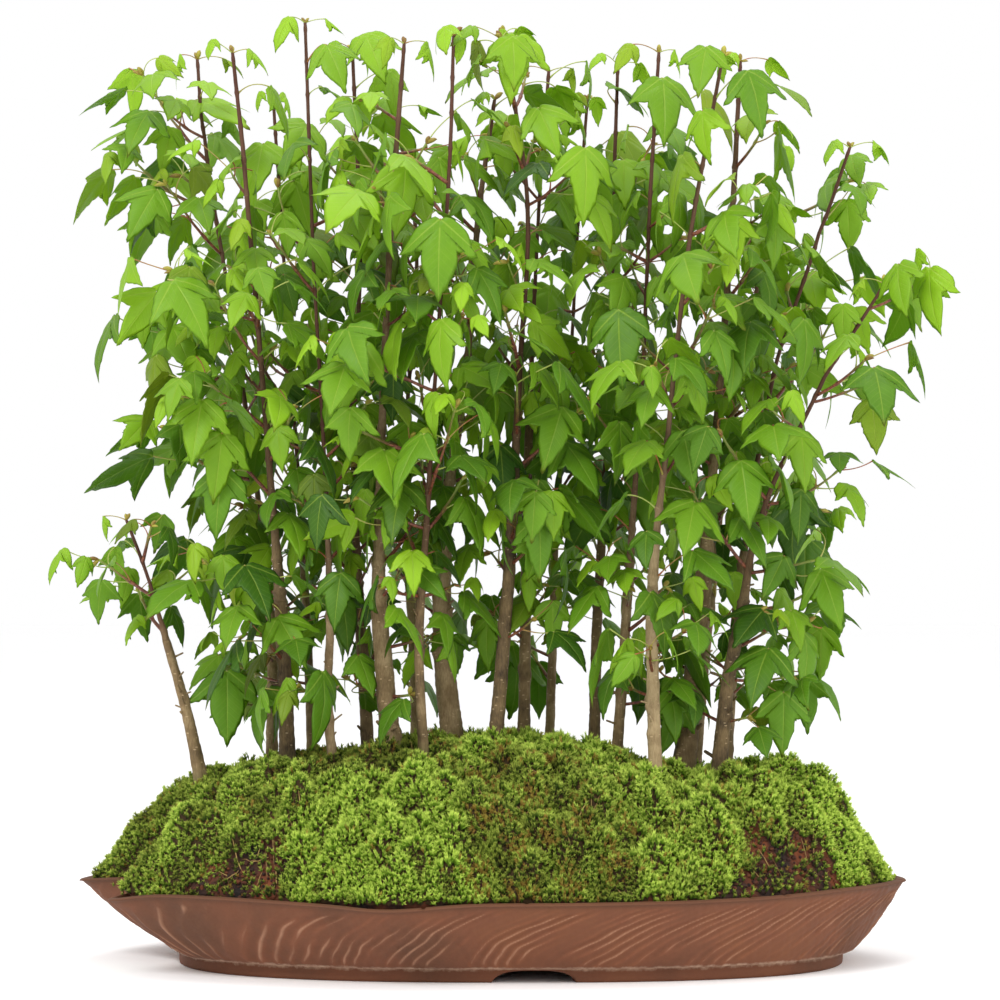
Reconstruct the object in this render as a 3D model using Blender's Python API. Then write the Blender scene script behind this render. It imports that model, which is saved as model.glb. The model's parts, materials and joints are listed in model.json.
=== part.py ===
"""Group planting of trident maples on a moss mound in a free-form clay tray.

Metres, +Z up, front towards -Y. The tray stands on its foot at z = 0 and the whole planting is
centred over the origin. Every tree is a bare trunk rooted in a socket in the soil and a crown, the
leader with its side shoots, petioles and leaves, which starts just above the trunk's cut height.
"""

import math
import random

import bmesh
import bpy
import numpy as np
from mathutils import Matrix, Vector
from mathutils.bvhtree import BVHTree

# ---------------------------------------------------------------- driving dimensions (metres)
GAP = 0.0003            # clearance between two pieces that touch

TRAY_LENGTH = 0.502     # over the two end points of the rim
TRAY_WIDTH = 0.308      # over the rim, front to back
TRAY_HEIGHT = 0.048     # ground to the mean lip
WALL = 0.0070           # thickness of the side wall
FLOOR = 0.0080          # thickness of the floor
FOOT_LENGTH = 0.402
FOOT_WIDTH = 0.236
FOOT_HEIGHT = 0.0075
FOOT_WALL = 0.0120
FOOT_SHIFT = 0.012      # the foot sits a little towards the right-hand end
NOTCH_WIDTH = 0.048     # arch in the foot, at the ground
NOTCH_TOP = 0.030       # the same arch where it meets the body
NOTCH_X = 0.025
DRAIN_HOLE = 0.018      # diameter
DRAIN_SPACING = 0.210
SCREEN_SIDE = 0.036
SCREEN_THICK = 0.0012
SCREEN_CELLS = 3
SCREEN_BAR = 0.0016

MOUND_HEIGHT = 0.136    # ground to the top of the moss at the crest
MOSS_DEPTH = 0.009      # usual thickness of a moss pad
SOCKET_DEPTH = 0.016    # how far a trunk goes down into the soil

TREE_HEIGHT = 0.586     # ground to the highest shoot tip
TRUNK_GIRTH = 1.0       # scales every trunk's radius
SHOOT_RADIUS = 0.0011   # young shoot where it leaves its leader
LEADER_TIP = 0.0010
PETIOLE = 0.024         # usual petiole length
LEAF_LENGTH = 0.046     # usual blade length, base to tip of the middle lobe
LEAF_THICK = 0.0007
NODE_STEP = 0.036       # distance between modelled nodes on a leader
LEAVES_PER_TREE = 7

# Rim seen from above, as shares of half the length and half the width, and its lift in mm. The left
# end has two leaf-like points with a fold between them.
RIM = (
    (1.00, -0.05, 2.0), (0.94, 0.25, 1.0), (0.78, 0.56, 0.0), (0.55, 0.79, -1.0),
    (0.26, 0.95, 0.0), (-0.03, 1.00, 0.5), (-0.33, 0.95, -0.5), (-0.60, 0.80, -1.5),
    (-0.81, 0.55, 0.0), (-0.94, 0.26, 1.0), (-1.00, 0.01, 0.5), (-0.89, -0.13, 3.0),
    (-0.775, -0.25, 3.5), (-0.81, -0.42, 1.0), (-0.885, -0.57, -3.0), (-0.77, -0.70, 1.0),
    (-0.60, -0.81, 1.0), (-0.38, -0.93, -1.0), (-0.23, -1.00, -3.0), (-0.04, -0.965, -0.5),
    (0.20, -0.955, 0.0), (0.44, -0.87, 0.0), (0.66, -0.71, 0.5), (0.83, -0.49, 1.5),
    (0.95, -0.25, 1.5),
)
STEPS_PER_KNOT = 2
INNER_SHARES = (0.24, 0.50, 0.80, 0.90)     # levels of the inner wall: floor, middle, and the soil's edge

# Height of the mound along its length: share of the half length, share of the rise over the lip.
CREST = (
    (-1.00, 0.10), (-0.93, 0.30), (-0.84, 0.55), (-0.70, 0.71), (-0.50, 0.83), (-0.37, 0.84),
    (-0.22, 0.92), (-0.08, 0.98), (0.05, 1.00), (0.14, 0.96), (0.27, 0.88), (0.39, 0.76),
    (0.51, 0.73), (0.61, 0.74), (0.73, 0.80), (0.81, 0.72), (0.90, 0.50), (1.00, 0.12),
)

# Moss pads: name, centre (shares of half length and width), thickness against the usual one. The
# unnamed centres are bare soil.
PADS = (
    ("left_end", -0.83, 0.02, 1.0), ("left_front", -0.60, -0.36, 1.1), ("left_back", -0.45, 0.48, 0.9),
    ("front_clump", -0.26, -0.74, 1.5), ("left_middle", -0.34, -0.16, 1.0), ("crest", 0.04, 0.06, 1.0),
    ("front_middle", 0.12, -0.66, 1.0), ("front_right", 0.42, -0.42, 1.2), ("back_middle", 0.10, 0.66, 0.9),
    ("right_hump", 0.75, -0.04, 1.6), ("back_right", 0.50, 0.50, 0.9),
    ("", -0.56, -0.92, 0.0), ("", 0.72, -0.74, 0.0),
)
PAD_SIDES = 16

# Trees. Foot of the trunk (x, y) and radius in mm; then the leader as (x, height share) pairs, where
# 0 is the ground and 1 the highest tip; then the depth of the tip and where the crown starts.
TREES = (
    ((-175, -6), 5.0, ((-186, .26), (-200, .345), (-209, .395), (-222, .455)), -12, .330),
    ((-137, 34), 4.2, ((-137, .32), (-146, .48), (-165, .70), (-181, .87), (-186, .955)), 46, .360),
    ((-123, -14), 5.6, ((-126, .32), (-133, .48), (-143, .70), (-150, .84), (-156, .935)), -38, .370),
    ((-113, 56), 3.6, ((-116, .32), (-122, .48), (-131, .70), (-137, .84), (-141, .925)), 84, .400),
    ((-95, -32), 3.2, ((-98, .28), (-97, .35), (-101, .52), (-108, .72), (-114, .975)), -12, .370),
    ((-76, 24), 4.6, ((-79, .29), (-82, .36), (-86, .54), (-82, .74), (-87, .96)), 28, .380),
    ((-60, -18), 7.2, ((-65, .31), (-68, .38), (-66, .54), (-60, .76), (-52, .94)), -52, .365),
    ((-47, 54), 4.2, ((-49, .32), (-53, .42), (-54, .56), (-48, .76), (-62, .91)), 78, .400),
    ((-40, -40), 3.6, ((-43, .33), (-38, .46), (-33, .60), (-25, .80), (-22, .94)), -76, .400),
    ((-23, 6), 8.2, ((-30, .34), (-28, .46), (-16, .60), (-8, .78), (2, .90)), 8, .420),
    ((2, -20), 5.2, ((9, .36), (13, .46), (17, .60), (22, .78), (7, .955)), -34, .500),
    ((20, 22), 4.5, ((21, .34), (22, .46), (25, .62), (30, .80), (36, .94)), 40, .560),
    ((36, 60), 3.6, ((39, .34), (41, .46), (50, .62), (56, .80), (62, .925)), 92, .480),
    ((64, 42), 4.2, ((66, .34), (70, .46), (75, .62), (77, .80), (80, .95)), 50, .430),
    ((76, -4), 4.0, ((80, .29), (85, .42), (92, .60), (97, .80), (102, .94)), -24, .400),
    ((98, -50), 4.8, ((96, .30), (96, .385), (104, .52), (118, .74), (137, .92)), -74, .385),
    ((117, 4), 8.2, ((125, .31), (131, .40), (139, .56), (148, .76), (154, .94)), 6, .400),
    ((126, 46), 5.0, ((134, .32), (141, .42), (152, .56), (170, .72), (184, .86)), 72, .420),
    ((136, -26), 5.6, ((142, .28), (151, .36), (163, .46), (200, .60), (236, .695)), -44, .360),
    ((144, 22), 4.6, ((150, .32), (158, .44), (176, .62), (203, .76), (222, .85)), 10, .400),
)


# ---------------------------------------------------------------- scene and small helpers
def clear_scene():
    for obj in list(bpy.data.objects):
        bpy.data.objects.remove(obj, do_unlink=True)


def collection(name):
    made = bpy.data.collections.new(name)
    bpy.context.scene.collection.children.link(made)
    return made


def material(name, colour, roughness, metallic=0.0):
    made = bpy.data.materials.new(name)
    made.use_nodes = True
    shader = made.node_tree.nodes["Principled BSDF"]
    shader.inputs["Base Color"].default_value = (*colour, 1.0)
    shader.inputs["Roughness"].default_value = roughness
    shader.inputs["Metallic"].default_value = metallic
    return made


def mesh_object(name, vertices, faces, where, mat=None, smooth=True):
    mesh = bpy.data.meshes.new(name)
    mesh.from_pydata([tuple(v) for v in vertices], [], faces)
    bm = bmesh.new()
    bm.from_mesh(mesh)
    bmesh.ops.triangulate(bm, faces=bm.faces[:])
    bm.to_mesh(mesh)
    bm.free()
    if smooth:
        mesh.shade_smooth()
        mesh.set_sharp_from_angle(angle=math.radians(40))
    obj = bpy.data.objects.new(name, mesh)
    where.objects.link(obj)
    if mat is not None:
        mesh.materials.append(mat)
    return obj


def as_cutter(obj):
    obj.hide_render = True
    obj.display_type = "WIRE"
    return obj


def cut(obj, cutter):
    modifier = obj.modifiers.new(f"cut_{cutter.name}", "BOOLEAN")
    modifier.operation = "DIFFERENCE"
    modifier.solver = "EXACT"
    modifier.object = cutter


def loft(rings, close_first=True, close_last=True):
    """Vertices and faces of a skin through closed rings of equal length, each counter-clockwise seen
    from the side the loft runs to."""
    count = len(rings[0])
    vertices = [v for ring in rings for v in ring]
    faces = []
    for level in range(len(rings) - 1):
        low, high = level * count, (level + 1) * count
        for j in range(count):
            k = (j + 1) % count
            faces.append((low + j, low + k, high + k, high + j))
    if close_first:
        faces.append(tuple(reversed(range(count))))
    if close_last:
        faces.append(tuple(range((len(rings) - 1) * count, len(rings) * count)))
    return vertices, faces


# ---------------------------------------------------------------- tray outline and mound surface
def catmull(knots, steps):
    """Points on a closed Catmull-Rom curve through the knots."""
    points = []
    knots = [Vector(k) for k in knots]
    for i in range(len(knots)):
        a, b, c, d = (knots[(i + o) % len(knots)] for o in (-1, 0, 1, 2))
        for s in range(steps):
            t = s / steps
            points.append(
                0.5 * ((2 * b) + (c - a) * t + (2 * a - 5 * b + 4 * c - d) * t * t
                       + (3 * b - a - 3 * c + d) * t ** 3)
            )
    return points


def rim_ring():
    knots = [(x * TRAY_LENGTH / 2, y * TRAY_WIDTH / 2, TRAY_HEIGHT + lift * 0.001) for x, y, lift in RIM]
    return catmull(knots, STEPS_PER_KNOT)


def smoothed(ring, reach=5):
    count = len(ring)
    return [sum((ring[(i + o) % count] for o in range(-reach, reach + 1)), Vector()) / (2 * reach + 1)
            for i in range(count)]


def foot_ring(soft, grow=0.0):
    """The foot's oval, one point for each point of the smoothed rim."""
    ring = []
    for p in soft:
        angle = math.atan2(p.y / TRAY_WIDTH, p.x / TRAY_LENGTH)
        c, s = math.cos(angle), math.sin(angle)
        squareness = (abs(c) ** 2.5 + abs(s) ** 2.5) ** (-1 / 2.5)
        ring.append(Vector((FOOT_SHIFT + (FOOT_LENGTH / 2 + grow) * c * squareness,
                            (FOOT_WIDTH / 2 + grow) * s * squareness, 0.0)))
    return ring


def wall_ring(rim, soft, foot, share):
    """Ring of the wall at a share of the height between foot and lip. The end points fade downwards."""
    spread = share ** 0.72
    fade = share ** 0.65
    base = FOOT_HEIGHT
    ring = []
    for r, s, f in zip(rim, soft, foot):
        flat = f.lerp(s, spread) + (r - s) * fade
        ring.append(Vector((flat.x, flat.y, base + (r.z - base) * share)))
    return ring


def shrunk(ring, amount, soft):
    """The ring moved inwards along the normals of the smoothed ring."""
    count = len(ring)
    moved = []
    for i, p in enumerate(ring):
        along = soft[(i + 1) % count] - soft[i - 1]
        inward = Vector((-along.y, along.x, 0.0)).normalized()
        moved.append(Vector((p.x, p.y, p.z)) + inward * amount)
    return moved


def at_height(ring, z):
    return [Vector((p.x, p.y, z)) for p in ring]


class Tray:
    """Rings of the tray, shared by the tray, the soil and the moss."""

    def __init__(self):
        self.rim = rim_ring()
        self.soft = smoothed(self.rim)
        self.foot = foot_ring(self.soft)
        self.body = foot_ring(self.soft, 0.004)
        self.floor_z = FOOT_HEIGHT + FLOOR
        self.soil_edge = FOOT_HEIGHT + (TRAY_HEIGHT - FOOT_HEIGHT) * INNER_SHARES[-1] + 0.002
        inside = self.inner(0.97)
        angles = np.array([math.atan2(p.y, p.x) for p in inside])
        order = np.argsort(angles)
        self.angles = angles[order]
        self.radii = np.array([math.hypot(p.x, p.y) for p in inside])[order]

    def outer(self, share):
        return wall_ring(self.rim, self.soft, self.body, share)

    def inner(self, share, gap=0.0):
        return shrunk(self.outer(share), WALL + gap, self.soft)

    def edge(self, x, y):
        """Share of the way from the middle of the tray to its inner edge."""
        reach = np.interp(math.atan2(y, x), self.angles, self.radii, period=2 * math.pi)
        return math.hypot(x, y) / float(reach)

    def mound(self, x, y):
        """Height of the soil under the moss."""
        edge = min(self.edge(x, y), 1.0)
        lengthways = abs(math.cos(math.atan2(y / TRAY_WIDTH, x / TRAY_LENGTH))) ** 4
        power = 2.3 + 11.0 * lengthways
        share = float(np.interp(x / (TRAY_LENGTH / 2), [c[0] for c in CREST], [c[1] for c in CREST]))
        low = self.soil_edge
        rise = (MOUND_HEIGHT - MOSS_DEPTH - low) * share
        return low + rise * (1.0 - edge ** power)


def build_tray(tray, where, cutters, mat):
    lip = tray.rim
    rings = [
        at_height(shrunk(tray.foot, FOOT_WALL, tray.soft), FOOT_HEIGHT - 0.0005),
        at_height(shrunk(tray.foot, FOOT_WALL, tray.soft), 0.0),
        at_height(shrunk(tray.foot, 0.001, tray.soft), 0.0),
        at_height(tray.foot, 0.0012),
        at_height(tray.foot, FOOT_HEIGHT),
        [p + Vector((0, 0, 0.0012)) for p in tray.outer(0.0)],
    ]
    rings += [tray.outer(share) for share in (0.20, 0.44, 0.70, 0.92)]
    rings.append([p + Vector((0, 0, -0.0012)) for p in shrunk(lip, -0.0006, tray.soft)])
    rings.append(shrunk(lip, 0.0012, tray.soft))
    rings.append(shrunk(lip, WALL - 0.0022, tray.soft))
    rings.append([p + Vector((0, 0, -0.0016)) for p in shrunk(lip, WALL - 0.0004, tray.soft)])
    rings += [tray.inner(share) for share in reversed(INNER_SHARES[1:])]
    rings.append(at_height(tray.inner(INNER_SHARES[0]), tray.floor_z))
    vertices, faces = loft(rings)
    body = mesh_object("tray", vertices, faces, where, mat)
    half, top = NOTCH_WIDTH / 2, NOTCH_TOP / 2
    length = FOOT_WIDTH + 0.06
    section = [(-half - 0.003, -0.002), (half + 0.003, -0.002), (half, 0.0), (top, FOOT_HEIGHT - 0.0007),
               (-top, FOOT_HEIGHT - 0.0007), (-half, 0.0)]
    ends = [[Vector((NOTCH_X + x, y, z)) for x, z in section] for y in (length / 2, -length / 2)]
    cut(body, as_cutter(mesh_object("foot_notch", *loft(ends), cutters)))
    for side, x in (("left", -DRAIN_SPACING / 2), ("right", DRAIN_SPACING / 2)):
        hole = bmesh.new()
        bmesh.ops.create_cone(hole, cap_ends=True, segments=20, radius1=DRAIN_HOLE / 2, radius2=DRAIN_HOLE / 2,
                              depth=0.05, matrix=Matrix.Translation((x, 0, 0.012)))
        mesh = bpy.data.meshes.new(f"drain_hole_{side}")
        hole.to_mesh(mesh)
        hole.free()
        cutter = bpy.data.objects.new(mesh.name, mesh)
        cutters.objects.link(cutter)
        cut(body, as_cutter(cutter))
    return body


def box(name, lo, hi, where, mat=None):
    bm = bmesh.new()
    size, middle = Vector(hi) - Vector(lo), (Vector(hi) + Vector(lo)) / 2
    bmesh.ops.create_cube(bm, size=1.0, matrix=Matrix.Translation(middle) @ Matrix.Diagonal((*size, 1.0)))
    mesh = bpy.data.meshes.new(name)
    bm.to_mesh(mesh)
    bm.free()
    obj = bpy.data.objects.new(name, mesh)
    where.objects.link(obj)
    if mat is not None:
        mesh.materials.append(mat)
    return obj


def build_screens(tray, where, cutters, mat):
    """A square of plastic mesh over each drain hole, with the pockets that the soil leaves for them."""
    pockets = []
    low = tray.floor_z + GAP
    for side, x in (("left", -DRAIN_SPACING / 2), ("right", DRAIN_SPACING / 2)):
        half = SCREEN_SIDE / 2
        body = box(f"drain_screen_{side}", (x - half, -half, low), (x + half, half, low + SCREEN_THICK), where, mat)
        clear = (SCREEN_SIDE - SCREEN_BAR * (SCREEN_CELLS + 1)) / SCREEN_CELLS
        cells = bmesh.new()
        for i in range(SCREEN_CELLS):
            for j in range(SCREEN_CELLS):
                cx = x - half + SCREEN_BAR + clear / 2 + i * (clear + SCREEN_BAR)
                cy = -half + SCREEN_BAR + clear / 2 + j * (clear + SCREEN_BAR)
                bmesh.ops.create_cube(cells, size=1.0, matrix=Matrix.Translation((cx, cy, low))
                                      @ Matrix.Diagonal((clear, clear, 0.01, 1.0)))
        mesh = bpy.data.meshes.new(f"screen_cells_{side}")
        cells.to_mesh(mesh)
        cells.free()
        cutter = bpy.data.objects.new(mesh.name, mesh)
        cutters.objects.link(cutter)
        cut(body, as_cutter(cutter))
        pockets.append(as_cutter(box(f"screen_pocket_{side}", (x - half - GAP, -half - GAP, low - 0.004),
                                     (x + half + GAP, half + GAP, low + SCREEN_THICK + GAP), cutters)))
    return pockets


def soil_rings(tray, lift):
    """Rings over the top of the mound, from the tray's edge inwards."""
    rings = []
    edge = tray.inner(INNER_SHARES[-1], GAP * 1.5)
    for share in (1.0, 0.93, 0.82, 0.66, 0.46, 0.22):
        ring = []
        for p in edge:
            x, y = p.x * share, p.y * share
            ring.append(Vector((x, y, tray.mound(x, y) + lift)))
        rings.append(ring)
    return rings


def build_soil(tray, where, cutters, pockets, sockets, mat):
    low = tray.floor_z + GAP
    sides = [at_height(tray.inner(INNER_SHARES[0], GAP * 1.5), low)]
    sides += [tray.inner(share, GAP * 1.5) for share in INNER_SHARES[1:-1]]
    body = mesh_object("soil_mound", *loft(sides + soil_rings(tray, 0.0)), where, mat)
    for cutter in [*pockets, sockets]:
        cut(body, cutter)
    edge = tray.inner(INNER_SHARES[-1])
    below = [[Vector((p.x * 1.6, p.y * 1.6, z)) for p in edge] for z in (-0.05, tray.soil_edge + GAP)]
    under = mesh_object("ground_under_moss", *loft(below + soil_rings(tray, GAP)), cutters)
    return body, as_cutter(under)


def pad_outline(tray, index):
    """The pad's cell: as far as half way to each neighbour, and no further than the tray's edge."""
    half = Vector((TRAY_LENGTH / 2, TRAY_WIDTH / 2))
    here = Vector((PADS[index][1] * half.x, PADS[index][2] * half.y))
    reach = []
    for k in range(PAD_SIDES):
        angle = 2 * math.pi * k / PAD_SIDES
        way = Vector((math.cos(angle), math.sin(angle)))
        far = 0.2
        for other, (_, ox, oy, _) in enumerate(PADS):
            if other == index:
                continue
            to = Vector((ox * half.x, oy * half.y)) - here
            facing = way.dot(to.normalized())
            if facing > 1e-6:
                far = min(far, to.length / 2 / facing)
        while tray.edge(*(here + way * far)) > 0.955:
            far -= 0.0015
        reach.append(far)
    return here, reach


def build_pads(tray, where, under, sockets, mats):
    pads = []
    for index, (name, _, _, thick) in enumerate(PADS):
        if not name:
            continue
        here, reach = pad_outline(tray, index)
        depth = MOSS_DEPTH * thick
        rings = []
        inset = 0.0008
        for share, height in ((1.0, None), (1.0, 0.45), (0.94, 0.84), (0.76, 1.0), (0.38, 1.04)):
            ring = []
            for k, far in enumerate(reach):
                angle = 2 * math.pi * k / PAD_SIDES
                r = (far - inset) * share
                x, y = here.x + math.cos(angle) * r, here.y + math.sin(angle) * r
                ground = tray.mound(x, y)
                z = TRAY_HEIGHT * 0.5 if height is None else ground + depth * height
                ring.append(Vector((x, y, z)))
            rings.append(ring)
        body = mesh_object(f"moss_{name}", *loft(rings), where, mats[index % len(mats)])
        cut(body, under)
        cut(body, sockets)
        pads.append(body)
    return pads


# ---------------------------------------------------------------- trees
class Skin:
    """A closed body grown out of four-sided tubes. A ring is four vertex numbers, counter-clockwise
    seen from the tip; a side face left open is the ring that a child grows from."""

    def __init__(self):
        self.vertices, self.faces = [], []

    def ring(self, middle, right, up, width, height):
        corners = ((-1, -1), (1, -1), (1, 1), (-1, 1))
        start = len(self.vertices)
        for a, b in corners:
            self.vertices.append(middle + right * (a * width / 2) + up * (b * height / 2))
        return tuple(range(start, start + 4))

    def join(self, low, high, open_sides=()):
        for j in range(4):
            if j not in open_sides:
                k = (j + 1) % 4
                self.faces.append((low[j], low[k], high[k], high[j]))

    def close(self, ring, reverse=False):
        self.faces.append(tuple(reversed(ring)) if reverse else tuple(ring))


def side_frame(way, upwards=Vector((0, 0, 1))):
    """Right and up directions for a tube that runs along way."""
    right = upwards.cross(way)
    if right.length < 1e-4:
        right = Vector((1, 0, 0)).cross(way)
    right.normalize()
    return right, way.cross(right).normalized()


# Blade seen from above: share of the length forward, share of the length sideways.
BLADE = ((0.08, 0.27), (0.50, 0.50), (0.47, 0.21), (1.00, 0.0))


class Leaf:
    """Where one leaf stands: its petiole from root to blade and the blade's own axes."""

    def __init__(self, root, way, length, rng):
        flat = Vector((way.x, way.y, 0.0))
        flat = flat.normalized() if flat.length > 1e-3 else Vector((1, 0, 0))
        swing = Matrix.Rotation(rng.uniform(-0.5, 0.5), 3, "Z")
        flat = swing @ flat
        self.root = root
        self.first = root + way.lerp(flat, 0.3).normalized() * PETIOLE * 0.15
        rise = rng.uniform(0.15, 0.75)
        self.hold = root + (flat + Vector((0, 0, rise))).normalized() * PETIOLE * rng.uniform(0.75, 1.3)
        self.length = length
        pitch = rng.uniform(-1.25, -0.45)
        turn = Matrix.Rotation(rng.uniform(-0.45, 0.45), 3, "Z")
        ahead = turn @ flat
        self.ahead = (ahead * math.cos(pitch) + Vector((0, 0, math.sin(pitch)))).normalized()
        right, up = side_frame(self.ahead)
        roll = Matrix.Rotation(rng.uniform(-0.4, 0.4), 3, self.ahead)
        self.right, self.up = roll @ right, roll @ up

    def spot(self, forward, sideways, lift=0.0):
        """A point of the drooping blade."""
        drop = 0.26 * forward * forward + 0.55 * sideways * sideways / 0.5
        return (self.hold + self.ahead * (forward * self.length) + self.right * (sideways * self.length)
                + self.up * (lift - drop * self.length * 0.75))

    def add(self, skin, base, thick=LEAF_THICK, closed=False):
        """Petiole and blade, grown from the ring base."""
        if base is None:
            way = (self.hold - self.first).normalized()
            base = skin.ring(self.first, *side_frame(way), 0.001, 0.001)
            skin.close(base, reverse=True)
        end = skin.ring(self.hold, self.right, self.up, 0.0014, thick)
        skin.join(base, end)
        a, b, c, d = end
        first = len(skin.vertices)
        for side in (1, -1):
            for forward, sideways in BLADE[:-1]:
                skin.vertices.append(self.spot(forward, sideways * side))
        skin.vertices.append(self.spot(*BLADE[-1]))
        upper, lower = first + 2 * len(BLADE) - 1, first + 2 * len(BLADE)
        skin.vertices.append(self.spot(0.36, 0.0, thick / 2))
        skin.vertices.append(self.spot(0.36, 0.0, -thick / 2))
        n = len(BLADE) - 1
        right = list(range(first, first + n))
        left = list(range(first + n, first + 2 * n))
        tip = first + 2 * n
        edge = right + [tip] + left[::-1]
        top = [d] + edge[::-1] + [c]
        bottom = [b] + edge + [a]
        for loop, middle in ((top, upper), (bottom, lower)):
            for p, q in zip(loop, loop[1:] + loop[:1]):
                skin.faces.append((p, q, middle))
        skin.faces.append((c, right[0], b))
        skin.faces.append((a, left[0], d))


class Shoot:
    """A side shoot: two points out from its root on the leader."""

    def __init__(self, root, outward, length, rng):
        flat = Vector((outward.x, outward.y, 0.0)).normalized()
        rise = rng.uniform(0.7, 1.3)
        self.way = (flat + Vector((0, 0, rise))).normalized()
        later = (flat * 0.75 + Vector((0, 0, rise + 0.35))).normalized()
        self.root = root
        self.points = [root + self.way * length * 0.5]
        self.points.append(self.points[0] + later * length * 0.5)


class Tree:
    """One maple: the path of its stem, its trunk and its crown."""

    def __init__(self, number, spec, tray):
        (x, y), radius, leader, tip_y, cut_share = spec
        self.number = number
        self.rng = random.Random(9100 + 37 * number)
        scale = TRAY_LENGTH / 0.502
        deep = TRAY_WIDTH / 0.308
        self.radius = radius * 0.001 * TRUNK_GIRTH
        x, y, tip_y = x * 0.001 * scale, y * 0.001 * deep, tip_y * 0.001 * deep
        ground = tray.mound(x, y)
        self.ground = ground
        knots = [Vector((x, y, ground))]
        for px, share in leader:
            z = share * TREE_HEIGHT
            along = (z - ground) / (leader[-1][1] * TREE_HEIGHT - ground)
            knots.append(Vector((px * 0.001 * scale, y + (tip_y - y) * along ** 1.3, z)))
        self.knots = knots
        self.cut_z = cut_share * TREE_HEIGHT
        self.top_z = knots[-1].z
        self.azimuth = self.rng.uniform(0, math.pi / 2)

    def at(self, z):
        """Centre of the stem at a height, on a smooth curve through the knots."""
        knots = self.knots
        if z <= knots[0].z:
            way = (knots[1] - knots[0]) / (knots[1].z - knots[0].z)
            return knots[0] + way * (z - knots[0].z)
        for i in range(len(knots) - 1):
            if z <= knots[i + 1].z + 1e-9:
                break
        a = knots[i - 1] if i else knots[i] * 2 - knots[i + 1]
        b, c = knots[i], knots[i + 1]
        d = knots[i + 2] if i + 2 < len(knots) else c * 2 - b
        t = (z - b.z) / (c.z - b.z)
        smooth = 0.5 * ((2 * b) + (c - a) * t + (2 * a - 5 * b + 4 * c - d) * t * t
                        + (3 * b - a - 3 * c + d) * t ** 3)
        return Vector((smooth.x, smooth.y, z))

    def thick(self, z):
        """Radius of the stem at a height, flaring towards the soil."""
        share = min(max((z - self.ground) / (self.top_z - self.ground), 0.0), 1.0)
        flare = 0.28 * math.exp(-max(z - self.ground, 0.0) / 0.010)
        slim = LEADER_TIP + (self.radius * 0.86 - LEADER_TIP) * (1.0 - share) ** 0.9
        return slim * (1.0 + flare)

    def trunk_rings(self, heights, sides=6, grow=0.0):
        rings = []
        for z in heights:
            middle, radius = self.at(z), self.thick(z) + grow
            rings.append([middle + Vector((math.cos(a), math.sin(a), 0)) * radius
                          for a in (2 * math.pi * k / sides for k in range(sides))])
        return rings

    def trunk(self, where, mat):
        low = self.ground - SOCKET_DEPTH
        heights = [low, self.ground, self.ground + 0.008, self.ground + 0.024]
        spread = self.cut_z - GAP - heights[-1]
        steps = max(2, round(spread / 0.036))
        heights += [heights[-1] + spread * (k + 1) / steps for k in range(steps)]
        return mesh_object(f"trunk_{self.number:02d}", *loft(self.trunk_rings(heights)), where, mat)

    def socket(self):
        low = self.ground - SOCKET_DEPTH - GAP
        heights = [low, self.ground, self.ground + 0.008, self.ground + 0.024, self.ground + 0.060]
        return loft(self.trunk_rings(heights, grow=GAP * 1.5))

    def face_way(self, side, turned):
        angle = self.azimuth + turned + side * math.pi / 2
        return Vector((math.cos(angle), math.sin(angle), 0.0))

    def plan_shoots(self, taken):
        """Chooses the leader's nodes and what grows at each."""
        rng = self.rng
        self.nodes = []
        count = max(3, round((self.top_z - self.cut_z - 0.012) / NODE_STEP))
        step = (self.top_z - self.cut_z - 0.012) / count
        for i in range(count + 1):
            z = self.cut_z + 0.006 + step * i
            sides = (0, 2) if i % 2 else (1, 3)
            grown = {}
            share = i / count
            for side in sides:
                if share < 0.80 and rng.random() < 0.36:
                    length = rng.uniform(0.045, 0.085) * (1.0 - 0.35 * share)
                    root = self.at(z) + self.face_way(side, 0) * self.thick(z)
                    shoot = Shoot(root, self.face_way(side, 0), length, rng)
                    if free_of(tube_triangles([root + shoot.way * 0.006] + shoot.points, 0.0022), taken):
                        grown[side] = shoot
            self.nodes.append([z, grown])

    def stem_triangles(self, margin=0.0006):
        heights = np.linspace(self.ground, self.top_z, 14)
        triangles = []
        vertices, faces = loft(self.trunk_rings(heights, sides=4, grow=margin))
        for face in faces:
            for k in range(1, len(face) - 1):
                triangles.append((vertices[face[0]], vertices[face[k]], vertices[face[k + 1]]))
        return triangles

    def plan_leaves(self, taken):
        """Fills the nodes and the shoot tips with leaves that touch nothing."""
        rng = self.rng
        spots = []
        for i, (z, grown) in enumerate(self.nodes):
            for side in ((0, 2) if i % 2 else (1, 3)):
                if side in grown:
                    shoot = grown[side]
                    spots.append((shoot, None, shoot.points[-1], (shoot.points[-1] - shoot.points[-2]).normalized()))
                else:
                    way = self.face_way(side, 0)
                    spots.append((i, side, self.at(z) + way * self.thick(z), way))
        rng.shuffle(spots)
        self.leaves = {}
        for key, side, root, way in spots:
            if len(self.leaves) >= LEAVES_PER_TREE:
                break
            for _ in range(5):
                leaf = Leaf(root, way, LEAF_LENGTH * rng.uniform(0.78, 1.10), rng)
                trial = Skin()
                leaf.add(trial, None, thick=0.0022)
                triangles = triangles_of(trial)
                if free_of(triangles, taken):
                    taken.append(Solid(triangles))
                    self.leaves[(key, side)] = leaf
                    break

    def crown(self, where, mat):
        skin = Skin()
        right, up = self.face_way(0, 0), self.face_way(1, 0)

        def ring(z, thick):
            middle = self.at(z)
            return skin.ring(middle, right, up, thick * 1.5, thick * 1.5)

        below = ring(self.cut_z, self.thick(self.cut_z))
        skin.close(below, reverse=True)
        for i, (z, grown) in enumerate(self.nodes):
            thick = self.thick(z)
            low, high = ring(z - 0.0010, thick), ring(z + 0.0010, thick)
            skin.join(below, low)
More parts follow.
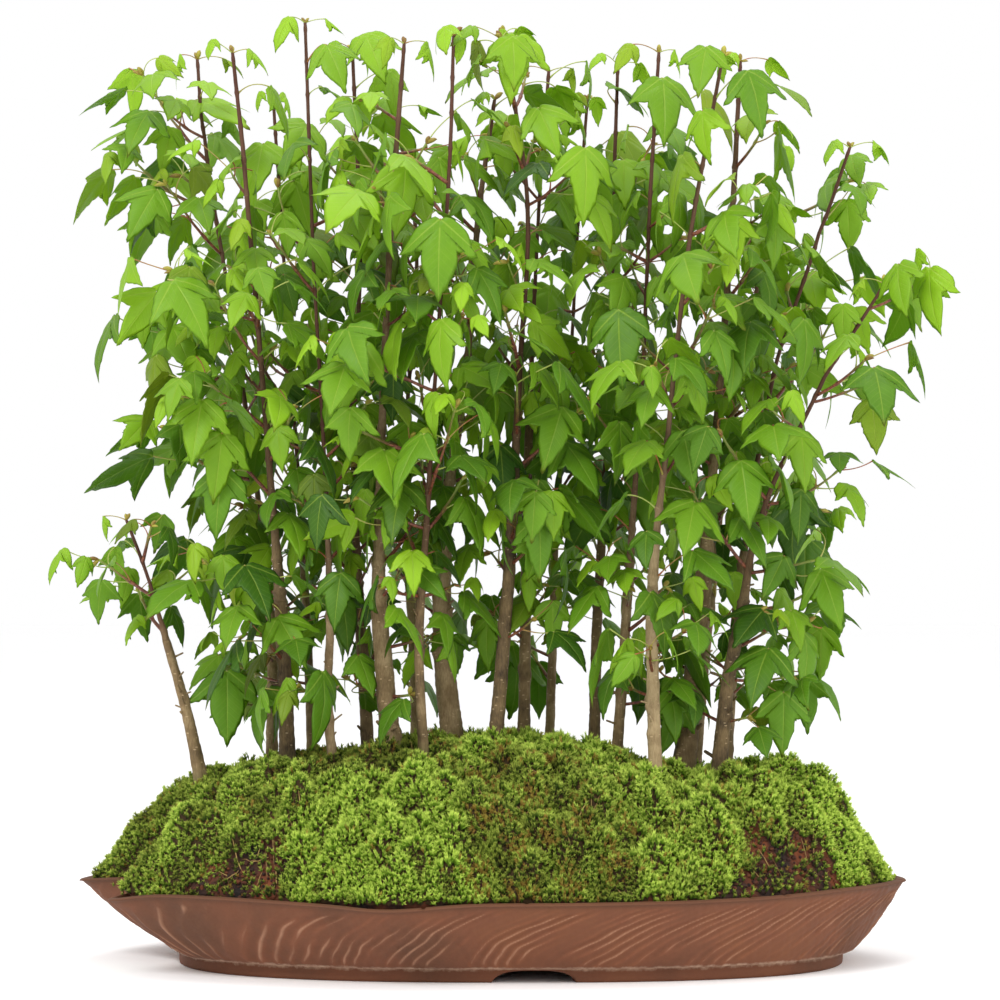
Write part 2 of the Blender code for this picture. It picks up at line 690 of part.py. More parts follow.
            # Side j of a ring faces -up, +right, +up, -right in turn.
            faces = {0: 1, 1: 2, 2: 3, 3: 0}
            grows = [s for s in ((0, 2) if i % 2 else (1, 3)) if s in grown or (i, s) in self.leaves]
            skin.join(low, high, open_sides=[faces[s] for s in grows])
            for side in grows:
                j = faces[side]
                k = (j + 1) % 4
                base = (low[j], low[k], high[k], high[j])
                if side in grown:
                    self.add_shoot(skin, base, grown[side])
                else:
                    self.leaves[(i, side)].add(skin, base)
            below = high
        end = ring(self.top_z, LEADER_TIP)
        skin.join(below, end)
        skin.close(end)
        return mesh_object(f"crown_{self.number:02d}", skin.vertices, skin.faces, where, mat, smooth=False)

    def add_shoot(self, skin, base, shoot):
        below = base
        radii = (SHOOT_RADIUS, SHOOT_RADIUS * 0.75)
        points = [shoot.root] + shoot.points
        for point, before, radius in zip(points[1:], points[:-1], radii):
            way = (point - before).normalized()
            ring = skin.ring(point, *side_frame(way), radius * 1.5, radius * 1.5)
            skin.join(below, ring)
            below = ring
        leaf = self.leaves.get((shoot, None))
        if leaf:
            leaf.add(skin, below)
        else:
            skin.close(below)


class Solid:
    """A piece already in place, for clearance tests."""

    def __init__(self, triangles):
        points = np.array([[tuple(p) for p in t] for t in triangles]).reshape(-1, 3)
        self.low, self.high = points.min(0), points.max(0)
        faces = [(3 * i, 3 * i + 1, 3 * i + 2) for i in range(len(triangles))]
        self.tree = BVHTree.FromPolygons([tuple(p) for p in points], faces)


def triangles_of(skin):
    triangles = []
    for face in skin.faces:
        for k in range(1, len(face) - 1):
            triangles.append(tuple(skin.vertices[n] for n in (face[0], face[k], face[k + 1])))
    return triangles


def tube_triangles(points, radius):
    skin = Skin()
    below = None
    for before, point in zip([points[0]] + points[:-1], points):
        way = (point - before).normalized() if (point - before).length > 0 else (points[1] - point).normalized()
        ring = skin.ring(point, *side_frame(way), radius * 2, radius * 2)
        if below is None:
            skin.close(ring, reverse=True)
        else:
            skin.join(below, ring)
        below = ring
    skin.close(below)
    return triangles_of(skin)


def free_of(triangles, taken):
    probe = Solid(triangles)
    for solid in taken:
        if (probe.low > solid.high).any() or (probe.high < solid.low).any():
            continue
        if probe.tree.overlap(solid.tree):
            return False
    return True


def evaluated_triangles(obj, graph):
    mesh = obj.evaluated_get(graph).to_mesh()
    mesh.calc_loop_triangles()
    found = [tuple(mesh.vertices[n].co.copy() for n in t.vertices) for t in mesh.loop_triangles]
    obj.evaluated_get(graph).to_mesh_clear()
    return found


def centre(where):
    """Moves the planting so that its bounding box is centred over the origin, standing at z = 0."""
    bpy.context.view_layer.update()
    graph = bpy.context.evaluated_depsgraph_get()
    lows, highs = [], []
    for obj in where.objects:
        mesh = obj.evaluated_get(graph).to_mesh()
        points = np.empty(len(mesh.vertices) * 3)
        mesh.vertices.foreach_get("co", points)
        points = points.reshape(-1, 3)
        lows.append(points.min(0))
        highs.append(points.max(0))
        obj.evaluated_get(graph).to_mesh_clear()
    low, high = np.min(lows, axis=0), np.max(highs, axis=0)
    root = bpy.data.objects.new("planting", None)
    bpy.context.scene.collection.objects.link(root)
    root.location = (-(low[0] + high[0]) / 2, -(low[1] + high[1]) / 2, -low[2])
    return root, low, high


def main():
    clear_scene()
    parts, cutters = collection("maple_forest_planting"), collection("cutters")
    clay = material("unglazed_brown_clay", (0.20, 0.075, 0.045), 0.72)
    plastic = material("black_plastic_mesh", (0.02, 0.02, 0.02), 0.5)
    earth = material("moist_potting_soil", (0.055, 0.024, 0.012), 0.95)
    moss = [material("moss_bright", (0.13, 0.27, 0.03), 0.9), material("moss_deep", (0.05, 0.14, 0.02), 0.9)]
    bark = material("maple_bark", (0.17, 0.10, 0.06), 0.85)
    leaf = material("maple_leaf", (0.12, 0.30, 0.03), 0.5)

    tray = Tray()
    build_tray(tray, parts, cutters, clay)
    pockets = build_screens(tray, parts, cutters, plastic)
    trees = [Tree(number, spec, tray) for number, spec in enumerate(TREES, start=1)]

    vertices, faces = [], []
    for tree in trees:
        more, sides = tree.socket()
        faces += [tuple(n + len(vertices) for n in face) for face in sides]
        vertices += more
    sockets = as_cutter(mesh_object("trunk_sockets", vertices, faces, cutters))
    soil, under = build_soil(tray, parts, cutters, pockets, sockets, earth)
    pads = build_pads(tray, parts, under, sockets, moss)
    bpy.context.view_layer.update()
    graph = bpy.context.evaluated_depsgraph_get()

    taken = [Solid(evaluated_triangles(pad, graph)) for pad in pads]
    stems = {tree: Solid(tree.stem_triangles()) for tree in trees}
    for tree in trees:
        tree.trunk(parts, bark)
        tree.plan_shoots(taken + [stems[other] for other in trees if other is not tree])
        for _, grown in tree.nodes:
            for shoot in grown.values():
                taken.append(Solid(tube_triangles([shoot.root + shoot.way * 0.004] + shoot.points, 0.0014)))
    taken += stems.values()
    for tree in trees:
        tree.plan_leaves(taken)
        tree.crown(parts, leaf)

    root, low, high = centre(parts)
    for obj in [*parts.objects, *cutters.objects]:
        obj.parent = root
    print("size mm", np.round((high - low) * 1000, 1), "shift mm", np.round(np.array(root.location) * 1000, 2))
    print("leaves", sum(len(tree.leaves) for tree in trees))


main()
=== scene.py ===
"""Visual model of a group planting of trident maples in a free-form clay tray.

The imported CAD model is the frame. Every visible surface is rebuilt here at the fineness of the real
thing: carved clay, crumbly soil, single moss shoots, barked stems, jointed shoots, petioles and veined
leaves. Lengths are metres unless a name says mm, and the front faces -Y.
"""

import json
import logging
import math
from dataclasses import dataclass, field
from enum import Enum
from typing import Iterable, Sequence

import bpy
import numpy as np
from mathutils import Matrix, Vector
from mathutils.geometry import tessellate_polygon

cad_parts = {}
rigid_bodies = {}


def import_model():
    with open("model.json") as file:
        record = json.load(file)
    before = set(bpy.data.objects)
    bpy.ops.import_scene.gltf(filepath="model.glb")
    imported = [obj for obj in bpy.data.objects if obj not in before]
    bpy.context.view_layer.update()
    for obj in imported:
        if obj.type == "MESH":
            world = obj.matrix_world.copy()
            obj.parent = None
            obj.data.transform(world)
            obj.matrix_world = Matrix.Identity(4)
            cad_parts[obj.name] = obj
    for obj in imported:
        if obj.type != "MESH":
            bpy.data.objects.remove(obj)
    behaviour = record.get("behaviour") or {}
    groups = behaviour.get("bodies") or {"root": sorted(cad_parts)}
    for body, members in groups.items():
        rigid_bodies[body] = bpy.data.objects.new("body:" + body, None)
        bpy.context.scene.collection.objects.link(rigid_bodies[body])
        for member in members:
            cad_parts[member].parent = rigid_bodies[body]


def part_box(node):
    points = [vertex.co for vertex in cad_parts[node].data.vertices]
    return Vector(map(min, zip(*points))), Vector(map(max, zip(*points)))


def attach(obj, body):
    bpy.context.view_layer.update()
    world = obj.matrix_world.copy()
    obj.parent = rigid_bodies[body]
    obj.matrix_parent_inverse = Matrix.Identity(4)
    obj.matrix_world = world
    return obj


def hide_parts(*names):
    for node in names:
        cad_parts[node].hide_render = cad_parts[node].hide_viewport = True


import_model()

log = logging.getLogger("planting")
MM = 0.001
FULL_TURN = 2.0 * math.pi


# ------------------------------------------------------------------------------ colours and nodes
def linear(hex_colour: str) -> tuple[float, float, float, float]:
    """Turns an sRGB hex colour into linear light.

    Args:
        hex_colour: Six hex digits, with or without a leading hash.

    Returns:
        Red, green, blue and an alpha of one.
    """
    digits = hex_colour.lstrip("#")
    shares = [int(digits[i:i + 2], 16) / 255.0 for i in (0, 2, 4)]
    light = [s / 12.92 if s <= 0.04045 else ((s + 0.055) / 1.055) ** 2.4 for s in shares]
    return (light[0], light[1], light[2], 1.0)


def add_node(tree: bpy.types.NodeTree, kind: str, settings: dict | None = None,
             inputs: dict | None = None) -> bpy.types.Node:
    """Adds one node with its settings and links.

    Args:
        tree: Node tree to add to.
        kind: Node type, such as ShaderNodeMath.
        settings: Values for the node's own properties.
        inputs: Socket name or number to a value, or to the output socket that feeds it.

    Returns:
        The new node.
    """
    node = tree.nodes.new(kind)
    for name, value in (settings or {}).items():
        setattr(node, name, value)
    for key, value in (inputs or {}).items():
        socket = node.inputs[key]
        if isinstance(value, bpy.types.NodeSocket):
            tree.links.new(value, socket)
        else:
            socket.default_value = value
    return node


def colour_steps(tree: bpy.types.NodeTree, amount: bpy.types.NodeSocket,
                 steps: Sequence[tuple[float, str]]) -> bpy.types.NodeSocket:
    """Colours an amount by named steps.

    Args:
        tree: Node tree to add to.
        amount: Socket that picks the colour.
        steps: Positions from zero to one, each with an sRGB hex colour.

    Returns:
        The colour socket.
    """
    ramp = add_node(tree, "ShaderNodeValToRGB", inputs={"Fac": amount})
    stops = ramp.color_ramp.elements
    while len(stops) > len(steps):
        stops.remove(stops[-1])
    while len(stops) < len(steps):
        stops.new(0.5)
    for stop, (place, shade) in zip(stops, steps):
        stop.position = place
        stop.color = linear(shade)
    return ramp.outputs["Color"]


@dataclass(frozen=True)
class Finish:
    """What every finish shares: its name and the parts of its shader that are the same all over."""

    name: str = "finish"
    roughness: float = 0.6
    ior: float = 1.5
    sheen: float = 0.0

    def start(self) -> tuple[bpy.types.NodeTree, bpy.types.Node]:
        """Makes the material.

        Returns:
            Its node tree and its Principled shader.
        """
        made = bpy.data.materials.new(self.name)
        made.use_nodes = True
        shader = made.node_tree.nodes["Principled BSDF"]
        shader.inputs["Roughness"].default_value = self.roughness
        shader.inputs["IOR"].default_value = self.ior
        shader.inputs["Sheen Weight"].default_value = self.sheen
        return made.node_tree, shader

    def bump(self, tree: bpy.types.NodeTree, shader: bpy.types.Node,
             height: bpy.types.NodeSocket, depth_mm: float, strength: float = 1.0) -> None:
        """Feeds a height into the shader's normal.

        Args:
            tree: The material's node tree.
            shader: Its Principled shader.
            height: Height from zero to one.
            depth_mm: What a height of one stands for, in millimetres.
            strength: Share of the bump that is kept.
        """
        bump = add_node(tree, "ShaderNodeBump", inputs={
            "Height": height, "Distance": depth_mm * MM, "Strength": strength})
        tree.links.new(bump.outputs["Normal"], shader.inputs["Normal"])


def material_of(tree: bpy.types.NodeTree) -> bpy.types.Material:
    """Finds the material that a node tree belongs to.

    Args:
        tree: The node tree.

    Returns:
        Its material.
    """
    return next(m for m in bpy.data.materials if m.node_tree == tree)


def noise(tree: bpy.types.NodeTree, grain_mm: float, detail: float = 4.0,
          roughness: float = 0.55) -> bpy.types.NodeSocket:
    """Cloudy noise whose blotches are about grain_mm across.

    Args:
        tree: Node tree to add to.
        grain_mm: Size of a blotch in millimetres.
        detail: Octaves of finer noise.
        roughness: Share that each finer octave keeps.

    Returns:
        The noise value, from zero to one.
    """
    place = add_node(tree, "ShaderNodeTexCoord")
    made = add_node(tree, "ShaderNodeTexNoise", inputs={
        "Vector": place.outputs["Object"], "Scale": 1000.0 / grain_mm, "Detail": detail,
        "Roughness": roughness})
    return made.outputs["Fac"]


def arithmetic(tree: bpy.types.NodeTree, work: str, first: object, second: object = 0.0,
               clamp: bool = False) -> bpy.types.NodeSocket:
    """One step of arithmetic on values or sockets.

    Args:
        tree: Node tree to add to.
        work: Name of the Math node's operation.
        first: Value or socket.
        second: Value or socket.
        clamp: Whether to keep the result between zero and one.

    Returns:
        The result.
    """
    made = add_node(tree, "ShaderNodeMath", {"operation": work, "use_clamp": clamp},
                    {0: first, 1: second})
    return made.outputs[0]


def mixed(tree: bpy.types.NodeTree, share: object, first: object, second: object,
          blend: str = "MIX") -> bpy.types.NodeSocket:
    """Mixes two colours.

    Args:
        tree: Node tree to add to.
        share: How much of the second shows, a value or socket.
        first: Colour or socket.
        second: Colour or socket.
        blend: Name of the Mix node's blend type.

    Returns:
        The colour socket.
    """
    made = add_node(tree, "ShaderNodeMix", {"data_type": "RGBA", "blend_type": blend},
                    {"Factor": share, 6: first, 7: second})
    return made.outputs[2]


def attribute(tree: bpy.types.NodeTree, name: str) -> bpy.types.NodeSocket:
    """Reads a value that the mesh carries at each point.

    Args:
        tree: Node tree to add to.
        name: Name of the value.

    Returns:
        The socket that gives it.
    """
    return add_node(tree, "ShaderNodeAttribute", {"attribute_name": name}).outputs["Fac"]


# ------------------------------------------------------------------------------ finishes
@dataclass(frozen=True)
class UnglazedClay(Finish):
    """Stoneware fired bare: dry and matt, with gouge ridges rubbed paler, painted shade darkening the gouge
    hollows, and a darker, smoother lip.
    """

    name: str = "unglazed_stoneware_carved"
    roughness: float = 0.78
    ior: float = 1.45
    body: str = "#703e24"
    # Dark clay brown: the dark end of the clay's blotches, and the painted shade down in the gouges.
    deep: str = "#54301a"
    worn: str = "#a67b60"
    lip: str = "#4d301c"
    lime: str = "#b99c84"
    grit_mm: float = 0.7

    def make(self) -> bpy.types.Material:
        """Builds the material.

        Returns:
            The finished clay.
        """
        tree, shader = self.start()
        cloud = noise(tree, 60.0, 5.0)
        colour = colour_steps(tree, cloud, ((0.30, self.deep), (0.52, self.body), (0.75, "#7a4725")))
        fleck = noise(tree, self.grit_mm * 3.0, 2.0)
        colour = mixed(tree, arithmetic(tree, "MULTIPLY", fleck, 0.12), colour, linear(self.worn))
        ridge = attribute(tree, "ridge")
        # Painted shade: away from the ridges the colour turns towards the deep brown, down in each gouge.
        gouge_painted_shade = arithmetic(tree, "SUBTRACT", 0.34, arithmetic(tree, "MULTIPLY", ridge, 1.6), True)
        colour = mixed(tree, gouge_painted_shade, colour, linear(self.deep))
        high = arithmetic(tree, "SUBTRACT", arithmetic(tree, "MULTIPLY", ridge, 1.7), 0.55, True)
        broken = arithmetic(tree, "MULTIPLY", high, noise(tree, 12.0, 3.0))
        colour = mixed(tree, arithmetic(tree, "MULTIPLY", broken, 1.3, True), colour, linear(self.worn))
        colour = mixed(tree, arithmetic(tree, "MULTIPLY", attribute(tree, "lip"), 0.45), colour,
                       linear(self.lip))
        scale = arithmetic(tree, "MULTIPLY", attribute(tree, "seam"), noise(tree, 5.0, 5.0, 0.7))
        scale = arithmetic(tree, "SUBTRACT", arithmetic(tree, "MULTIPLY", scale, 2.4), 0.7, True)
        colour = mixed(tree, scale, colour, linear(self.lime))
        tree.links.new(colour, shader.inputs["Base Color"])
        grain = noise(tree, self.grit_mm, 3.0, 0.6)
        rough = arithmetic(tree, "ADD", arithmetic(tree, "MULTIPLY", grain, 0.2), 0.66)
        tree.links.new(rough, shader.inputs["Roughness"])
        self.bump(tree, shader, grain, 0.18, 0.7)
        return material_of(tree)


@dataclass(frozen=True)
class PottingSoil(Finish):
    """Moist fired-clay granules and humus: dark red-brown, dull, broken into grains of 1 to 3 mm."""

    name: str = "akadama_potting_soil"
    roughness: float = 0.92
    dark: str = "#150b07"
    mid: str = "#341a0f"
    light: str = "#70381a"
    grain_mm: float = 2.2

    def make(self) -> bpy.types.Material:
        """Builds the material.

        Returns:
            The finished soil.
        """
        tree, shader = self.start()
        place = add_node(tree, "ShaderNodeTexCoord")
        cells = add_node(tree, "ShaderNodeTexVoronoi", inputs={
            "Vector": place.outputs["Object"], "Scale": 1000.0 / self.grain_mm})
        shade = arithmetic(tree, "MULTIPLY", noise(tree, 11.0, 5.0, 0.65), 0.75)
        shade = arithmetic(tree, "ADD", shade, arithmetic(tree, "MULTIPLY", attribute(tree, "tint"), 0.4))
        colour = colour_steps(tree, shade, ((0.30, self.dark), (0.52, self.mid), (0.86, self.light)))
        tree.links.new(colour, shader.inputs["Base Color"])
        self.bump(tree, shader, cells.outputs["Distance"], 0.8, 0.8)
        return material_of(tree)


@dataclass(frozen=True)
class MossGreen(Finish):
    """Living moss: soft, slightly glossy leaflets, yellow at the tips; near black at the foot of the shoots
    and on the cushion between them, dark old stems with painted shade on top.
    """

    name: str = "living_moss"
    roughness: float = 0.72
    ior: float = 1.33
    # Near-black foot colour: dark old stems deepened into painted shade, on the shoots' lower parts and on
    # the cushion body.
    base: str = "#140f07"
    dark_body: str = "#36420f"
    dark_tip: str = "#959e3a"
    bright_body: str = "#6f981c"
    bright_tip: str = "#dcf26a"
    dry: str = "#9a7234"

    def make(self) -> bpy.types.Material:
        """Builds the material.

        Returns:
            The finished moss.
        """
        tree, shader = self.start()
        tint = attribute(tree, "tint")
        patch = arithmetic(tree, "SUBTRACT", noise(tree, 16.0, 4.0, 0.6), 0.5)
        # Colour runs up each shoot from the near-black foot, painted shade over the dark old stems, to the
        # pale tip.
        reach = arithmetic(tree, "MULTIPLY", attribute(tree, "height"), 0.86)
        reach = arithmetic(tree, "ADD", reach, arithmetic(tree, "MULTIPLY", tint, 0.20))
        deep = colour_steps(tree, reach, ((0.22, self.base), (0.58, self.dark_body), (0.92, self.dark_tip)))
        pale = colour_steps(tree, reach, ((0.18, self.base), (0.55, self.bright_body),
                                          (0.92, self.bright_tip)))
        tone = arithmetic(tree, "ADD", attribute(tree, "tone"), arithmetic(tree, "MULTIPLY", patch, 1.3))
        tone = arithmetic(tree, "ADD", tone, arithmetic(tree, "MULTIPLY", tint, 0.30), True)
        colour = mixed(tree, tone, deep, pale)
        colour = mixed(tree, arithmetic(tree, "MULTIPLY", attribute(tree, "dry"), 0.75), colour,
                       linear(self.dry))
        tree.links.new(colour, shader.inputs["Base Color"])
        self.bump(tree, shader, noise(tree, 1.4, 3.0, 0.65), 0.8, 1.0)
        return material_of(tree)


@dataclass(frozen=True)
class MapleBark(Finish):
    """Smooth young maple bark: grey-tan, finely furrowed lengthways, freckled with pale lenticels."""

    name: str = "maple_bark"
    roughness: float = 0.82
    dark: str = "#3a2c1a"
    mid: str = "#7a6442"
    light: str = "#b8a27a"
    furrow_mm: float = 0.9

    def make(self) -> bpy.types.Material:
        """Builds the material.

        Returns:
            The finished bark.
        """
        tree, shader = self.start()
        place = add_node(tree, "ShaderNodeTexCoord")
        long = add_node(tree, "ShaderNodeMapping", inputs={
            "Vector": place.outputs["Object"], "Scale": (1.0, 1.0, 0.22)})
        furrow = add_node(tree, "ShaderNodeTexNoise", inputs={
            "Vector": long.outputs[0], "Scale": 1000.0 / self.furrow_mm, "Detail": 4.0,
            "Roughness": 0.7}).outputs["Fac"]
        flat = add_node(tree, "ShaderNodeMapping", inputs={
            "Vector": place.outputs["Object"], "Scale": (0.45, 0.45, 1.0)})
        spots = add_node(tree, "ShaderNodeTexVoronoi", inputs={
            "Vector": flat.outputs[0], "Scale": 1000.0 / 2.6, "Randomness": 1.0}).outputs["Distance"]
        cloud = noise(tree, 16.0, 4.0)
        shade = arithmetic(tree, "ADD", arithmetic(tree, "MULTIPLY", cloud, 0.55),
                           arithmetic(tree, "MULTIPLY", furrow, 0.35))
        shade = arithmetic(tree, "ADD", shade, arithmetic(tree, "MULTIPLY", attribute(tree, "tint"), 0.30))
        colour = colour_steps(tree, shade, ((0.36, self.dark), (0.56, self.mid), (0.84, self.light)))
        freckle = arithmetic(tree, "LESS_THAN", spots, 0.16)
        colour = mixed(tree, arithmetic(tree, "MULTIPLY", freckle, 0.45), colour, linear("#cdb38c"))
        young = attribute(tree, "young")
        colour = mixed(tree, young, colour, linear("#4a2216"))
        colour = mixed(tree, attribute(tree, "algae"), colour, linear("#5d6b33"))
        tree.links.new(colour, shader.inputs["Base Color"])
        self.bump(tree, shader, furrow, 0.35, 0.8)
        return material_of(tree)


@dataclass(frozen=True)
class YoungTwig(Finish):
    """This year's shoot: smooth red-brown skin with a waxy shine, turning green at the growing end."""

    name: str = "young_shoot_skin"
    roughness: float = 0.5
    wood: str = "#5a2c20"
    pale: str = "#8a4f34"
    fresh: str = "#7f9a3a"

    def make(self) -> bpy.types.Material:
        """Builds the material.

        Returns:
            The finished shoot.
        """
        tree, shader = self.start()
        fleck = noise(tree, 1.6, 3.0)
        colour = colour_steps(tree, fleck, ((0.40, self.wood), (0.62, self.pale)))
        colour = mixed(tree, attribute(tree, "fresh"), colour, linear(self.fresh))
        tree.links.new(colour, shader.inputs["Base Color"])
        self.bump(tree, shader, fleck, 0.12, 0.6)
        return material_of(tree)


@dataclass(frozen=True)
class LeafStalk(Finish):
    """Petiole: thin, smooth and shiny, yellow-green with a patchy red flush."""

    name: str = "maple_petiole"
    roughness: float = 0.42
    green: str = "#a5b254"
    red: str = "#a05a34"

    def make(self) -> bpy.types.Material:
        """Builds the material.

        Returns:
            The finished petiole.
        """
        tree, shader = self.start()
        flush = arithmetic(tree, "MULTIPLY", attribute(tree, "tint"), noise(tree, 20.0, 2.0))
        colour = colour_steps(tree, flush, ((0.18, self.green), (0.48, self.red)))
        tree.links.new(colour, shader.inputs["Base Color"])
        return material_of(tree)


@dataclass(frozen=True)
class MapleLeaf(Finish):
    """Maple blade: satin skin with paler veins, and light that glows through it yellow-green."""

    name: str = "maple_leaf_blade"
    roughness: float = 0.46
    ior: float = 1.36
    old: str = "#315810"
    mid: str = "#64931b"
    new: str = "#98c424"
    vein: str = "#b6d050"
    flush: str = "#7a4a1f"
    glow: str = "#9ad014"
    through: float = 0.30
    side_veins: float = 11.0

    def make(self) -> bpy.types.Material:
        """Builds the material.

        Returns:
            The finished leaf.
        """
        tree, shader = self.start()
        plan = add_node(tree, "ShaderNodeUVMap", {"uv_map": "veins"})
        split = add_node(tree, "ShaderNodeSeparateXYZ", inputs={0: plan.outputs[0]})
        along, off = split.outputs[0], arithmetic(tree, "ABSOLUTE", split.outputs[1])
        youth, tint = attribute(tree, "youth"), attribute(tree, "tint")
        taper = arithmetic(tree, "SUBTRACT", 0.017, arithmetic(tree, "MULTIPLY", along, 0.012))
        main = arithmetic(tree, "SUBTRACT", 1.0, arithmetic(tree, "DIVIDE", off, taper), True)
        slant = arithmetic(tree, "SUBTRACT", along, arithmetic(tree, "MULTIPLY", off, 0.95))
        comb = arithmetic(tree, "PINGPONG", arithmetic(tree, "MULTIPLY", slant, self.side_veins), 0.5)
        side = arithmetic(tree, "SUBTRACT", 1.0, arithmetic(tree, "MULTIPLY", comb, 9.0), True)
        side = arithmetic(tree, "MULTIPLY", side, 0.45)
        vein = arithmetic(tree, "MAXIMUM", main, side)
        cloud = noise(tree, 14.0, 3.0)
        age = arithmetic(tree, "ADD", youth, arithmetic(tree, "MULTIPLY", cloud, 0.22))
        age = arithmetic(tree, "ADD", age, arithmetic(tree, "MULTIPLY", tint, 0.16))
        colour = colour_steps(tree, age, ((0.12, self.old), (0.48, self.mid), (1.0, self.new)))
        colour = mixed(tree, arithmetic(tree, "MULTIPLY", main, 0.42), colour, linear(self.vein))
        colour = mixed(tree, arithmetic(tree, "MULTIPLY", side, 0.22), colour, linear(self.vein))
        blush = arithmetic(tree, "MULTIPLY", attribute(tree, "blush"), 0.7)
        colour = mixed(tree, blush, colour, linear(self.flush))
        tree.links.new(colour, shader.inputs["Base Color"])
        cells = noise(tree, 1.3, 3.0)
        rough = arithmetic(tree, "ADD", arithmetic(tree, "MULTIPLY", cells, 0.24), 0.34)
        tree.links.new(rough, shader.inputs["Roughness"])
        relief = arithmetic(tree, "SUBTRACT", arithmetic(tree, "MULTIPLY", cells, 0.25), vein)
        self.bump(tree, shader, relief, 0.22, 0.8)
        light = mixed(tree, arithmetic(tree, "MULTIPLY", youth, 0.9, True), linear(self.mid),
                      linear(self.glow))
        light = mixed(tree, arithmetic(tree, "MULTIPLY", vein, 0.4), light, linear(self.mid))
        light = mixed(tree, blush, light, linear(self.flush))
        behind = add_node(tree, "ShaderNodeBsdfTranslucent", inputs={"Color": light})
        both = add_node(tree, "ShaderNodeMixShader", inputs={
            0: self.through, 1: shader.outputs[0], 2: behind.outputs[0]})
        out = next(n for n in tree.nodes if n.type == "OUTPUT_MATERIAL")
        tree.links.new(both.outputs[0], out.inputs["Surface"])
        return material_of(tree)


@dataclass(frozen=True)
class BudScale(Finish):
    """Bud and folded young leaf: downy yellow-brown scales with a soft shine."""

    name: str = "bud_scales"
    roughness: float = 0.6
    brown: str = "#7a5a26"
    straw: str = "#a9a23a"

    def make(self) -> bpy.types.Material:
        """Builds the material.

        Returns:
            The finished bud.
        """
        tree, shader = self.start()
        shade = arithmetic(tree, "ADD", arithmetic(tree, "MULTIPLY", noise(tree, 3.0, 3.0), 0.6),
                           arithmetic(tree, "MULTIPLY", attribute(tree, "tint"), 0.4))
        colour = colour_steps(tree, shade, ((0.30, self.brown), (0.70, self.straw)))
        tree.links.new(colour, shader.inputs["Base Color"])
        return material_of(tree)


@dataclass(frozen=True)
class MouldedMesh(Finish):
    """Black polypropylene drain mesh, injection moulded: even, slightly shiny, with patches of dust."""

    name: str = "polypropylene_moulded"
    roughness: float = 0.5
    ior: float = 1.49

    def make(self) -> bpy.types.Material:
        """Builds the material.

        Returns:
            The finished plastic.
        """
        tree, shader = self.start()
        dust = noise(tree, 3.0, 4.0)
        colour = colour_steps(tree, dust, ((0.45, "#141414"), (0.8, "#3a322a")))
        tree.links.new(colour, shader.inputs["Base Color"])
        self.bump(tree, shader, noise(tree, 0.6, 2.0), 0.05, 0.5)
        return material_of(tree)


# ------------------------------------------------------------------------------ meshes
class Pile:
    """Gathers points, faces and the values that points carry, and makes one object of them."""

    def __init__(self, *values: str) -> None:
        """Starts an empty pile.

        Args:
            values: Names of the values that each point carries.
        """
        self.points: list[np.ndarray] = []
        self.faces: list[np.ndarray] = []
        self.plans: list[np.ndarray] = []
        self.values: dict[str, list[np.ndarray]] = {name: [] for name in values}
        self.count = 0

    def add(self, points: np.ndarray, faces: Iterable[np.ndarray], plans: Iterable[np.ndarray] = (),
            **values: object) -> None:
        """Adds points and faces.

        Args:
            points: Coordinates, one row a point.
            faces: Arrays of corner numbers, each of one width, counted from this call's first point.
            plans: Flat coordinates for the corners of each array of faces.
            values: A number or a row of numbers for each of the pile's values.
        """
        points = np.asarray(points, dtype=np.float64)
        self.points.append(points)
        for block in faces:
            self.faces.append(np.asarray(block, dtype=np.int64) + self.count)
        self.plans.extend(plans)
        for name, rows in self.values.items():
            rows.append(np.broadcast_to(np.asarray(values[name], dtype=np.float64), (len(points),)))
        self.count += len(points)

    def shift(self, by: np.ndarray) -> None:
        """Moves every point gathered so far.

        Args:
            by: How far to move them.
        """
        self.points = [points + by for points in self.points]

    def build(self, name: str, finish: bpy.types.Material, smooth: bool = True,
              plan_name: str = "") -> bpy.types.Object:
        """Makes the object.

        Args:
            name: Name of the piece.
            finish: Its material.
            smooth: Whether its faces are shaded smooth.
            plan_name: Name of the flat map, where the faces have one.

        Returns:
            The piece, linked to the scene.
        """
        points = np.vstack(self.points)
        corners = np.concatenate([block.reshape(-1) for block in self.faces])
        widths = np.concatenate([np.full(len(block), block.shape[1]) for block in self.faces])
        mesh = bpy.data.meshes.new(name)
        mesh.vertices.add(len(points))
        mesh.vertices.foreach_set("co", points.astype(np.float32).reshape(-1))
        mesh.loops.add(len(corners))
        mesh.loops.foreach_set("vertex_index", corners.astype(np.int32))
        mesh.polygons.add(len(widths))
        starts = np.concatenate([[0], np.cumsum(widths)[:-1]])
        mesh.polygons.foreach_set("loop_start", starts.astype(np.int32))
        mesh.update(calc_edges=True)
        if plan_name:
            flat = mesh.uv_layers.new(name=plan_name)
            flat.data.foreach_set("uv", np.concatenate(
                [p.reshape(-1) for p in self.plans]).astype(np.float32))
        for value, rows in self.values.items():
            made = mesh.attributes.new(value, "FLOAT", "POINT")
            made.data.foreach_set("value", np.concatenate(rows).astype(np.float32))
        mesh.polygons.foreach_set("use_smooth", np.full(len(widths), smooth))
        mesh.materials.append(finish)
        mesh.validate()
        piece = bpy.data.objects.new(name, mesh)
        bpy.context.scene.collection.objects.link(piece)
        return piece


def ring_faces(rings: int, sides: int, wrap: bool = True) -> np.ndarray:
    """Faces between rings of points.

    Args:
        rings: How many rings there are.
        sides: Points in each ring.
        wrap: Whether a ring closes on itself.

    Returns:
        Corner numbers of the four-sided faces.
    """
    level = np.arange(rings - 1)[:, None] * sides
    side = np.arange(sides if wrap else sides - 1)[None, :]
    after = (side + 1) % sides
    return np.stack([level + side, level + after, level + sides + after, level + sides + side],
                    axis=-1).reshape(-1, 4)


